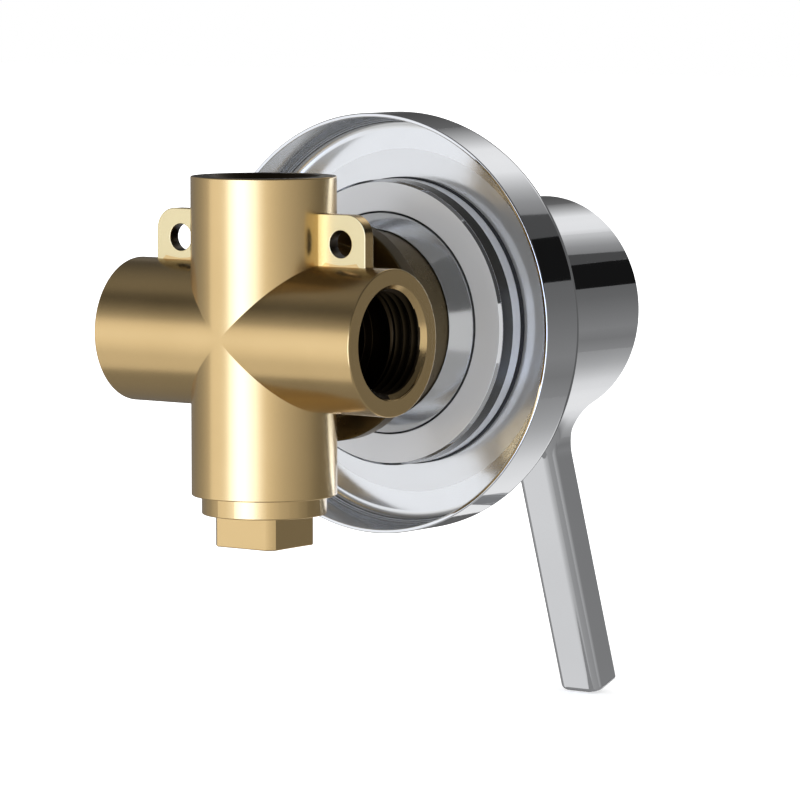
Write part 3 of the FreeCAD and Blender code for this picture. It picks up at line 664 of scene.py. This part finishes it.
section_x = np.concatenate([0 * forward_share[:0:-1] - BAR_HALF, strip_x, 0 * forward_share[1:] + BAR_HALF])
section_forward = np.concatenate([side_forward[:0:-1], strip_forward, side_forward[1:]])
section_nx = np.concatenate([0 * forward_share[:0:-1] - 1, strip_nx, 0 * forward_share[1:] + 1])
section_nf = np.concatenate([0 * forward_share[:0:-1], strip_nf, 0 * forward_share[1:]])
side_z = middle[0, 2]
section_top = np.concatenate([
    (side_forward[:0:-1] * math.sin(LEAN) - side_z) / math.cos(LEAN), bar_top,
    (side_forward[1:] * math.sin(LEAN) - side_z) / math.cos(LEAN),
])
bar_share = np.array([0, 0.01, 0.06, 0.2, 0.4, 0.6, 0.8, 0.94, 1])
bar_down = section_top + (BAR_LENGTH - TIP_ROUND - section_top) * bar_share[:, None]
bar = on_bar(section_x, section_forward, bar_down)

tip_turn = np.radians(np.linspace(0, 90, 7))[:, None]
tip_inset = TIP_ROUND * (1 - np.cos(tip_turn))
tip_down = BAR_LENGTH - TIP_ROUND + TIP_ROUND * np.sin(tip_turn)
tip_x = section_x - section_nx * tip_inset
tip_forward = section_forward - section_nf * tip_inset
tip = on_bar(tip_x, tip_forward, tip_down + 0 * section_x)

left = slice(0, len(forward_share) - 1 + len(turn))
end_x = (section_x - section_nx * TIP_ROUND)[left]
end_forward = (section_forward - section_nf * TIP_ROUND)[left]
tip_end = on_bar(-end_x[:, None] * flat_share, end_forward[:, None] + 0 * flat_share, BAR_LENGTH)

# %% [markdown]
# The front is one face with a bend in it. Its rim is walked from the top of the hub down to the tip as
# two lines, one on the flanks where the chamfer begins and one on the front where it ends. The chamfer
# lies between them, and the face is drawn straight across from the left line to the right.

# %% Hub, rim and front
square_corners = np.radians([45, 135, 225, 315])
past_neck = np.linspace(side_angle, 2 * math.pi - side_angle, 145)
over_top = np.unique(np.concatenate([past_neck, square_corners]))
over_top = over_top[np.append(True, np.diff(over_top) > 1e-6)]
under = np.arctan2(neck_strip[0, :, 0], -neck_strip[0, :, 2])
hub_angles = np.concatenate([under, over_top[1:]])
neck_start = neck_strip[0, 0, 1]
hub_foot = HUB_BACK - 0.9
back_share = np.array([0, 0.01, 0.05, 0.2, 0.5, 0.8, 1])[:, None]


def on_hub(angles, y, radius=HUB_R):
    """Points at an angle from the bottom of the hub: x = r sin(angle), z = -r cos(angle)."""
    x, z = radius * np.sin(angles), -radius * np.cos(angles)
    return np.stack([x + 0 * y, y + 0 * angles, z + 0 * y], axis=-1)


front_rows = neck_start + (edge_y(0.0) - neck_start) * forward_share[:, None]
hub_front_part = on_hub(over_top, front_rows)
hub_over = on_hub(over_top, neck_start + (hub_foot - neck_start) * back_share)
hub_under = on_hub(under, neck_strip[0, :, 1] + (hub_foot - neck_strip[0, :, 1]) * back_share)

right_top = over_top[over_top <= math.pi + 1e-9][::-1]
arc = neck_strip[:, -1]
arc_ray = (arc - middle[-1]) / BALL
hub_flank = on_hub(right_top, edge_y(0.0) + 0 * right_top)
rim_flank = np.concatenate([hub_flank, neck_side(arc)[1:, -1], bar[1:, -1], tip[1:, -1]])
neck_front = middle[-1] + arc_ray * (BALL + EDGE)
neck_front[:, 1] = front_y(neck_front[:, 2])
front_top = (BAR_THICK * math.sin(LEAN) - side_z) / math.cos(LEAN)
bar_front = on_bar(BAR_HALF - EDGE, BAR_THICK, front_top + (BAR_LENGTH - TIP_ROUND - front_top) * bar_share)
small = TIP_ROUND - EDGE
tip_front = on_bar(BAR_HALF - TIP_ROUND + small * np.cos(tip_turn[:, 0]), BAR_THICK,
                   BAR_LENGTH - TIP_ROUND + small * np.sin(tip_turn[:, 0]))
hub_rim = on_hub(right_top, HUB_FRONT + 0 * right_top, HUB_R - EDGE)
rim_front = np.concatenate([hub_rim, neck_front[1:], bar_front[1:], tip_front[1:]])
mirror = np.array([-1.0, 1.0, 1.0])
chamfer = np.stack([rim_flank, rim_front])
face = np.stack([rim_front * [s, 1, 1] for s in flat_share], axis=1)
tip_chamfer = np.stack([tip_end[0], face[-1]])

# %% [markdown]
# Inside, the hub is hollow, and a boss with a square socket stands on its floor and takes the spindle.

# %% Inside of the hub
CUP_FLOOR = HUB_FRONT + 4.5
SOCKET_MOUTH = -34.5
SOCKET_END = -46.1
SOCKET_HALF = 3.6

cup = outline([
    (HUB_R, hub_foot, 0),
    (HUB_R, HUB_BACK - 0.4, 0.12),
    (HUB_R - 0.4, HUB_BACK, 0.12),
    (19.5, HUB_BACK, 0.2),
    (19.5, CUP_FLOOR, 0.8),
    (6.5, CUP_FLOOR, 0.5),
    (6.5, SOCKET_MOUTH, 0.3),
    (5.3, SOCKET_MOUTH, 0),
])
socket_r = SOCKET_HALF / np.maximum(np.abs(np.sin(hub_angles)), np.abs(np.cos(hub_angles)))
socket = np.stack([
    on_hub(hub_angles, SOCKET_MOUTH + 0 * hub_angles, socket_r),
    on_hub(hub_angles, SOCKET_END + 0 * hub_angles, socket_r),
    on_hub(hub_angles, SOCKET_END + 0 * hub_angles, 0 * socket_r),
])
skin("handle_polished", [
    neck_strip, neck_side(neck_strip[:, 0]), neck_side(arc), bar, tip, tip_end, tip_chamfer,
    hub_front_part, hub_over, hub_under, chamfer, chamfer * mirror, face,
    np.concatenate([turned_y(cup, hub_angles), socket]),
], "lever", "polished_chrome", "handle", sharp=25.0)

# %% [markdown]
# ## Finishes
#
# Each finish is worked out from the place on the piece, never from a picture. Noise in the object's own
# coordinates shifts the colour a little, moves the roughness between two values, and gives the skin a
# faint relief. Polished metal gets hardly any relief, and plastic and rubber get the most. Coordinates
# are in metres, so a noise scale of 1000 has grains of about a millimetre.

# %% A finish from noise
FINISHES = {}


def noise(nodes, links, place, scale, detail, stretch=(1, 1, 1)):
    """A noise texture on stretched object coordinates."""
    mapping = nodes.new("ShaderNodeMapping")
    mapping.inputs["Scale"].default_value = stretch
    texture = nodes.new("ShaderNodeTexNoise")
    texture.inputs["Scale"].default_value = scale
    texture.inputs["Detail"].default_value = detail
    links.new(place, mapping.inputs["Vector"])
    links.new(mapping.outputs["Vector"], texture.inputs["Vector"])
    return texture.outputs["Fac"]


def finish(name, tones, metallic, roughness, grain, cloud, relief, stretch=(1, 1, 1)):
    """A material: broad clouds move its colour, a fine grain makes its relief, and both move its roughness.

    tones and roughness are (low, high) pairs, grain and cloud are noise scales, relief is a height in metres.
    """
    material = bpy.data.materials.new(name)
    material.use_nodes = True
    nodes, links = material.node_tree.nodes, material.node_tree.links
    shader = nodes["Principled BSDF"]
    shader.inputs["Metallic"].default_value = metallic
    place = nodes.new("ShaderNodeTexCoord").outputs["Object"]
    clouds = noise(nodes, links, place, cloud, 4.0)
    grains = noise(nodes, links, place, grain, 6.0, stretch)
    ramp = nodes.new("ShaderNodeValToRGB")
    for element, at, tone in zip(ramp.color_ramp.elements, (0.3, 0.7), tones):
        element.position = at
        element.color = (*tone, 1.0)
    links.new(clouds, ramp.inputs["Fac"])
    links.new(ramp.outputs["Color"], shader.inputs["Base Color"])
    both = nodes.new("ShaderNodeMath")
    both.operation = "MULTIPLY_ADD"
    both.inputs[1].default_value = 0.5
    half = nodes.new("ShaderNodeMath")
    half.operation = "MULTIPLY"
    half.inputs[1].default_value = 0.5
    links.new(grains, half.inputs[0])
    links.new(clouds, both.inputs[0])
    links.new(half.outputs[0], both.inputs[2])
    spread = nodes.new("ShaderNodeMapRange")
    spread.inputs["From Min"].default_value = 0.35
    spread.inputs["From Max"].default_value = 0.65
    spread.inputs["To Min"].default_value = roughness[0]
    spread.inputs["To Max"].default_value = roughness[1]
    links.new(both.outputs[0], spread.inputs["Value"])
    links.new(spread.outputs["Result"], shader.inputs["Roughness"])
    bump = nodes.new("ShaderNodeBump")
    bump.inputs["Strength"].default_value = 1.0
    bump.inputs["Distance"].default_value = relief
    links.new(grains, bump.inputs["Height"])
    links.new(bump.outputs["Normal"], shader.inputs["Normal"])
    FINISHES[name] = material
    return shader


# %% [markdown]
# The body and its plug are blasted brass: soft highlights that run the length of each bar. The cartridge
# nut and the spindle come off the lathe with fine marks, so their grain is squeezed along one axis.
# Chrome is a hard mirror with just enough cloud in it to look handled.

# %% The finishes of this mixer
finish("satin_brass", ((0.735, 0.525, 0.25), (0.775, 0.555, 0.27)), 1.0, (0.19, 0.23), 2600, 60, 0.000002)
finish("turned_brass", ((0.72, 0.54, 0.26), (0.78, 0.60, 0.30)), 1.0, (0.16, 0.24), 1800, 80, 0.000002,
       stretch=(1, 1, 6))
finish("polished_chrome", ((0.80, 0.81, 0.83), (0.84, 0.85, 0.87)), 1.0, (0.03, 0.06), 900, 40, 0.0000003)
finish("steel", ((0.50, 0.50, 0.52), (0.60, 0.60, 0.62)), 1.0, (0.22, 0.34), 1500, 120, 0.000002,
       stretch=(8, 1, 1))
finish("ceramic", ((0.82, 0.82, 0.79), (0.88, 0.88, 0.86)), 0.0, (0.10, 0.18), 3000, 150, 0.000001)
finish("cartridge_plastic", ((0.68, 0.68, 0.66), (0.76, 0.76, 0.74)), 0.0, (0.38, 0.52), 1600, 90, 0.000006)
finish("black_rubber", ((0.012, 0.012, 0.013), (0.022, 0.022, 0.024)), 0.0, (0.55, 0.75), 2200, 120, 0.000008)
print("finishes:", ", ".join(FINISHES))


def dress(thing, name):
    """Gives a piece or a CAD node one finish in every material slot."""
    if not thing.data.materials:
        thing.data.materials.append(FINISHES[name])
    for i in range(len(thing.data.materials)):
        thing.data.materials[i] = FINISHES[name]


for piece in PARTS.values():
    dress(piece, piece["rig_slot"])
for part in frame["record"]["subparts"]:
    dress(frame["nodes"][part["node"]], part["material_slot"])

# %% [markdown]
# ## Where one piece has several skins
#
# A casting is blasted and then cut. Its ears are milled, and their paler brass is a painted highlight. Its
# ports are bored and threaded, and the near-black brass in the bores, the threads and the ear holes is
# painted shade. The flange and the neck in front of the cross, and the end of the top port, get a dark brass
# that is painted shade, and the boss between flange and arms gets a lighter painted shade. A face takes
# another finish by where its middle lies, so the piece stays one mesh and no point moves.

# %% Painted highlight and painted shade on the brass
# A paler brass on the ear faces: a painted highlight.
finish("painted_highlight_brass", ((0.80, 0.68, 0.40), (0.84, 0.72, 0.43)), 1.0, (0.22, 0.26), 1200, 90, 0.0000003)
# A dark brass on the flange, the neck and the top port's end: painted shade.
finish("painted_shade_brass", ((0.125, 0.094, 0.048), (0.155, 0.116, 0.06)), 1.0, (0.26, 0.34), 1600, 90, 0.0000004)
# A near-black brass in the bores, the threads and the ear holes: painted shade.
finish("painted_bore_shade_brass", ((0.035, 0.025, 0.013), (0.06, 0.043, 0.024)), 1.0, (0.30, 0.40), 1600, 120, 0.000002)
# A darker brass on the boss between flange and arms: painted shade.
finish("painted_half_shade_brass", ((0.33, 0.24, 0.12), (0.38, 0.28, 0.14)), 1.0, (0.26, 0.34), 1600, 90, 0.0000004)


def middles(piece):
    """Middle of every face in millimetres, one column for each face: x, y and z."""
    spots = np.empty(3 * len(piece.data.polygons))
    piece.data.polygons.foreach_get("center", spots)
    return spots.reshape(-1, 3).T / MM


def refinish(piece, faces, name):
    """Gives some faces of a piece another finish."""
    piece.data.materials.append(FINISHES[name])
    slots = np.empty(len(faces), dtype=np.int32)
    piece.data.polygons.foreach_get("material_index", slots)
    slots[faces] = len(piece.data.materials) - 1
    piece.data.polygons.foreach_set("material_index", slots)
    print(f"{piece.name}: {int(faces.sum())} faces in {name}")


# %% Skins of the body
NEAR = 0.02
PAST_BORE = 0.05
BRIGHT_MOUTH = 0.9
ROUND_ZONE = 0.2

x, y, z = middles(valve_body)
along_x, along_z = np.abs(x), np.abs(z)
from_x, from_y, from_z = np.hypot(y - CROSS_Y, z), np.hypot(x, z), np.hypot(x, y - CROSS_Y)

on_level = np.abs(np.abs(y - CROSS_Y) - EAR_THICK / 2) < NEAR
ear_face = on_level & (np.minimum(along_x, z) > EAR_LOW[0] + ROUND_ZONE / 2)
ear_hole = np.hypot(along_x - HOLE[0], z - HOLE[1]) < HOLE_R + NEAR
in_arm = (along_x > SIDE_BORE_END - NEAR) & (along_x < ARM_REACH - BRIGHT_MOUTH)
side_bore = in_arm & (from_x < MAJOR_R + PAST_BORE)
upright_bore = (from_z < MOUTH_R + PAST_BORE) & (along_z > ARM_R)
boss_side = (np.abs(from_y - BOSS_R) < NEAR) & (y < boss_top.max()) & (y > FLANGE_TOP - ROUND_ZONE)

# The ear faces take the painted highlight, and the faces below take painted shade.
refinish(valve_body, ear_face, "painted_highlight_brass")
# Painted shade on the flange, the neck and the end of the top port.
refinish(valve_body, (y < boss_foot) | (z > ARM_REACH - NEAR), "painted_shade_brass")
# A lighter painted shade on the side of the boss.
refinish(valve_body, boss_side, "painted_half_shade_brass")
# Painted shade inside the bores, the threads and the ear holes.
refinish(valve_body, side_bore | upright_bore | ear_hole, "painted_bore_shade_brass")

# %% [markdown]
# The plate is polished in front. Behind, the floor of its dish is turned satin, and its outer ring and
# the inside of its skirt are buffed softer than the front. The collar's end is a nearly white chrome of
# little metal, which is painted light, and its edge has a near-black band, a painted dark reflection,
# with a band of the same painted light below it. The sleeve is buffed like the skirt where it lies behind
# the plate.

# %% Skins of the chromed pieces
# Nearly white and hardly metal: painted light on the collar's end and its lower band.
finish("painted_light_chrome", ((0.91, 0.92, 0.94), (0.94, 0.95, 0.97)), 0.15, (0.18, 0.22), 700, 60, 0.0000001)
finish("satin_chrome", ((0.89, 0.90, 0.91), (0.92, 0.93, 0.94)), 0.62, (0.13, 0.17), 700, 60, 0.0000001)
finish("soft_chrome", ((0.81, 0.82, 0.83), (0.85, 0.86, 0.87)), 0.88, (0.11, 0.15), 700, 60, 0.0000001)
# Near-black chrome: a painted dark reflection on the collar's edge.
finish("painted_dark_reflection_chrome", ((0.055, 0.053, 0.049), (0.07, 0.067, 0.062)), 1.0, (0.16, 0.22), 700, 60, 0.0000001)
BUFFED_SLEEVE_Y = -12.0

x, y, z = middles(wall_plate)
from_y = np.hypot(x, z)
behind = (from_y < DISH_R + 0.2) & (y > DISH_Y - 0.7)
refinish(wall_plate, behind & (from_y < TURNED_DISH_R), "satin_chrome")
refinish(wall_plate, behind & (from_y > TURNED_DISH_R), "soft_chrome")

x, y, z = middles(plate_collar)
edge = np.hypot(x, z) > COLLAR_R - 0.05
# The collar's end and lower band take painted light, and the band between takes a painted dark reflection.
refinish(plate_collar, y > COLLAR_END - 0.05, "painted_light_chrome")
refinish(plate_collar, edge & (y < COLLAR_END - 0.6) & (y > COLLAR_BAND), "painted_dark_reflection_chrome")
refinish(plate_collar, edge & (y < COLLAR_BAND), "painted_light_chrome")
refinish(sleeve, middles(sleeve)[1] > BUFFED_SLEEVE_Y, "soft_chrome")

# %% [markdown]
# ## Camera
#
# A long lens stands behind the valve, where the wall would be, to the left as the user sees it and a
# little above. The place comes from fitting about 130 edge points of the photograph to the real sizes of
# the parts.

# %% Camera
camera_data = bpy.data.cameras.new("camera")
camera_data.lens = 215.2
camera_data.sensor_width = 36.0
camera = bpy.data.objects.new("camera", camera_data)
bpy.context.scene.collection.objects.link(camera)
camera.location = (-0.53891, 0.73001, 0.07147)
turn_round, look_down = math.radians(216.116), math.radians(5.416)
level = math.cos(look_down)
away = Vector((math.sin(turn_round) * level, -math.cos(turn_round) * level, math.sin(look_down)))
camera.rotation_mode = "QUATERNION"
camera.rotation_quaternion = (-away).to_track_quat("-Z", "Y")
bpy.context.scene.camera = camera
print("camera looks along", [round(v, 3) for v in -away])

# %% [markdown]
# ## Studio
#
# Polished metal shows the room, so the room is what gets designed. A white room alone would leave the
# chrome pale and flat. As in a real product studio, a tent of cards stands round the valve, and it is
# what the metal mirrors. One card is as bright as a window and gives the long highlight on the brass,
# and the others run from black to white. A soft box left of the camera lights what is dull.
#
# Places in the room are given as seen from the valve: degrees round from the camera, positive to the
# right of the picture, and degrees above the horizon.

# %% Directions in the room
def studio_frame(azimuth, height):
    """Unit vectors from the valve into the room: (sin a cos e, -cos a cos e, sin e), a from the camera."""
    a, e = np.broadcast_arrays(turn_round + np.radians(azimuth), np.radians(height))
    return np.stack([np.sin(a) * np.cos(e), -np.cos(a) * np.cos(e), np.sin(e)], axis=-1)


def stage_sheet(name, grid, material):
    """A sheet of the studio from a grid of points in metres."""
    mesh = bpy.data.meshes.new(name)
    mesh.from_pydata(grid.reshape(-1, 3), [], quads(*grid.shape[:2]))
    mesh.materials.append(material)
    thing = bpy.data.objects.new(name, mesh)
    scene.collection.objects.link(thing)
    thing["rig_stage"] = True
    return thing


scene = bpy.context.scene
scene.view_settings.view_transform = "Standard"

# %% [markdown]
# The world is white to the camera, in reflections and through glass, and lights dull surfaces a little
# less. The floor is plain white paint. To the camera it also glows, more so far from the valve, so that
# it melts into the white behind it, while the soft shadow under the lever still shows. Reflections leave
# the floor out, because the low cards stand in for it, and it keeps no light from the valve.

# %% White room and floor
def seen_directly(nodes, links):
    """1 for camera, glossy and transmission rays, 0 for the rays that carry light to dull surfaces."""
    path = nodes.new("ShaderNodeLightPath")
    most = path.outputs["Is Camera Ray"]
    for kind in ("Is Glossy Ray", "Is Transmission Ray"):
        larger = nodes.new("ShaderNodeMath")
        larger.operation = "MAXIMUM"
        links.new(most, larger.inputs[0])
        links.new(path.outputs[kind], larger.inputs[1])
        most = larger.outputs[0]
    return most


def between(nodes, links, value, low, high, start=0.0, end=1.0):
    """A value carried from the range start to end over to the range low to high."""
    spread = nodes.new("ShaderNodeMapRange")
    spread.inputs["From Min"].default_value = start
    spread.inputs["From Max"].default_value = end
    spread.inputs["To Min"].default_value = low
    spread.inputs["To Max"].default_value = high
    links.new(value, spread.inputs["Value"])
    return spread.outputs["Result"]


world = bpy.data.worlds.new("studio")
scene.world = world
world.use_nodes = True
nodes, links = world.node_tree.nodes, world.node_tree.links
nodes["Background"].inputs["Color"].default_value = (1.0, 1.0, 1.0, 1.0)
world_strength = between(nodes, links, seen_directly(nodes, links), 0.8, 1.0)
links.new(world_strength, nodes["Background"].inputs["Strength"])

floor_white = bpy.data.materials.new("floor_white")
floor_white.use_nodes = True
nodes, links = floor_white.node_tree.nodes, floor_white.node_tree.links
paint = nodes["Principled BSDF"]
paint.inputs["Base Color"].default_value = (0.9, 0.9, 0.9, 1.0)
paint.inputs["Roughness"].default_value = 0.9
paint.inputs["Specular IOR Level"].default_value = 0.0
paint.inputs["Emission Color"].default_value = (1.0, 1.0, 1.0, 1.0)
away_from_valve = nodes.new("ShaderNodeVectorMath")
away_from_valve.operation = "LENGTH"
links.new(nodes.new("ShaderNodeTexCoord").outputs["Object"], away_from_valve.inputs[0])
glow = between(nodes, links, away_from_valve.outputs["Value"], 0.45, 1.0, 0.10, 0.22)
shown = nodes.new("ShaderNodeMath")
shown.operation = "MULTIPLY"
links.new(glow, shown.inputs[0])
links.new(seen_directly(nodes, links), shown.inputs[1])
links.new(shown.outputs[0], paint.inputs["Emission Strength"])
FLOOR_HALF = 4.0
FLOOR_DROP = 0.0002
sides = (-FLOOR_HALF, FLOOR_HALF)
corners = np.array([[[x, y, cad_low.z - FLOOR_DROP] for y in sides] for x in sides])
floor = stage_sheet("floor", corners, floor_white)
floor.visible_glossy = floor.visible_shadow = False

# %% [markdown]
# The soft box is an area lamp whose power is chosen for its brightness: brightness x pi x area. It is
# left out of reflections, where a card with softer edges takes its place. A card is a patch of a large
# ball round the valve, so it covers exactly the angles it is given. It hides from the camera and from
# dull surfaces, and changes nothing but the reflections. Each card carries its tones as a point
# attribute, even steps from one side to the other or from foot to head, and all of them share one
# glowing material. Above a tone of about 1 the glow turns bluer, as daylight is beside painted card.

# %% A soft box
def soft_box(name, azimuth, height, distance, wide, tall, brightness):
    """An area lamp of a given angular size that faces the valve, as bright as asked."""
    out = Vector(studio_frame(azimuth, height))
    data = bpy.data.lights.new(name, "AREA")
    data.shape = "RECTANGLE"
    data.size = 2 * distance * math.tan(math.radians(wide / 2))
    data.size_y = 2 * distance * math.tan(math.radians(tall / 2))
    data.energy = brightness * math.pi * data.size * data.size_y
    lamp = bpy.data.objects.new(name, data)
    lamp.location = out * distance
    lamp.rotation_mode = "QUATERNION"
    lamp.rotation_quaternion = out.to_track_quat("Z", "Y")
    lamp.visible_camera = False
    scene.collection.objects.link(lamp)
    return lamp


# %% Paint of the cards
card_paint = bpy.data.materials.new("card_paint")
card_paint.use_nodes = True
nodes, links = card_paint.node_tree.nodes, card_paint.node_tree.links
nodes.remove(nodes["Principled BSDF"])
painted = nodes.new("ShaderNodeAttribute")
painted.attribute_name = "tone"
shine = nodes.new("ShaderNodeEmission")
links.new(painted.outputs["Fac"], shine.inputs["Strength"])
daylight = nodes.new("ShaderNodeMix")
daylight.data_type = "RGBA"
daylight.inputs["A"].default_value = (1.0, 1.0, 1.0, 1.0)
daylight.inputs["B"].default_value = (1.0, 1.17, 1.55, 1.0)
links.new(between(nodes, links, painted.outputs["Fac"], 0.0, 1.0, 0.95, 1.5), daylight.inputs["Factor"])
links.new(daylight.outputs["Result"], shine.inputs["Color"])
links.new(shine.outputs["Emission"], nodes["Material Output"].inputs["Surface"])


def card(name, azimuths, heights, tones, distance=3.4, upright=False):
    """A patch of a ball between two azimuths and two heights, its tones going across or, if upright, up."""
    u, v = np.meshgrid(np.linspace(0, 1, 25), np.linspace(0, 1, 25), indexing="ij")
    azimuth = azimuths[0] + (azimuths[1] - azimuths[0]) * u
    height = heights[0] + (heights[1] - heights[0]) * v
    thing = stage_sheet(name, studio_frame(azimuth, height) * distance, card_paint)
    share = v if upright else u
    tone = np.interp(share, np.linspace(0, 1, len(tones)), tones).ravel()
    thing.data.attributes.new("tone", "FLOAT", "POINT").data.foreach_set("value", tone)
    thing.visible_camera = thing.visible_diffuse = thing.visible_shadow = False
    return thing


# %% The soft box and the tent of cards
window = soft_box("window", -36, -6, 2.8, 24, 30, 1.6)
window.visible_glossy = False
window_tones = (1.0, 1.05, 1.25, 1.75, 2.3, 2.65, 2.75, 2.6, 2.2, 1.8, 1.5, 1.2, 1.0)
card("card_window", (-70, 2), (-26, 12), window_tones, 3.2)
card("card_rear_right", (-4, 100), (-26, 10), (1.1, 0.85, 0.70, 0.58, 0.50, 0.42, 0.35, 0.26, 0.20))
card("card_rear_left", (-180, -92), (-30, 28), (0.12, 0.24, 0.27, 0.38, 0.60))
card("card_beside_window", (-92, -70), (-29, 15), (0.68, 0.80, 0.93, 1.0, 1.0, 0.90, 0.62), upright=True)
card("card_over_window", (-100, -4), (15, 60), (0.46, 0.20, 0.07, 0.15, 0.20), upright=True)
card("card_high_left", (-180, -100), (28, 60), (0.04, 0.10, 0.16, 0.20, 0.20))
card("card_high_right", (-4, 104), (10, 60), (0.06, 0.06))
card("card_ceiling", (-180, 180), (60, 89.9), (0.12, 0.12))
card("card_slate", (100, 124), (-24, 11.2), (0.27, 0.21, 0.24, 0.21, 0.18, 0.15, 0.135), upright=True)
card("card_black", (104, 120), (11.2, 24), (0.008, 0.008))
card("card_edge", (104, 124.2), (24, 60), (0.075, 0.075))
card("card_rise", (124.2, 143), (24, 60), (0.24, 0.32, 0.47, 0.67, 0.88))
card("card_bright", (143, 170), (22, 60), (0.89, 0.91, 0.88, 0.50, 0.18))
card("card_user_top", (170, 184), (8, 60), (0.14, 0.04), 3.3)
card("card_user", (120, 182), (-24, 24), (0.12, 0.12), 3.6)
card("card_floor_user", (112, 184), (-62, -24), (0.22, 0.43, 0.77, 0.88, 0.87, 0.85))
card("card_floor_left", (-118, -4), (-44, -29), (0.74, 0.72, 0.54, 0.40))
card("card_floor_back", (-180, -100), (-62, -28), (0.16, 0.22, 0.26, 0.26), 3.6)
card("card_floor_low", (-118, -4), (-62, -44), (0.26, 0.26))
card("card_floor_right", (-4, 112), (-62, -24), (0.34, 0.26))
card("card_under", (-180, 180), (-89.9, -62), (0.26, 0.26))

# %% [markdown]
# ## Last look at the sizes
#
# The finer pieces must stay inside the solids they stand for, so the growth past the CAD box is printed.

# %% Sizes and the end
low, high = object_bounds()
grown = [[round(1000 * (a - b), 3) for a, b in zip(*pair)] for pair in ((high, cad_high), (low, cad_low))]
print("grown by, in millimetres:", *grown)
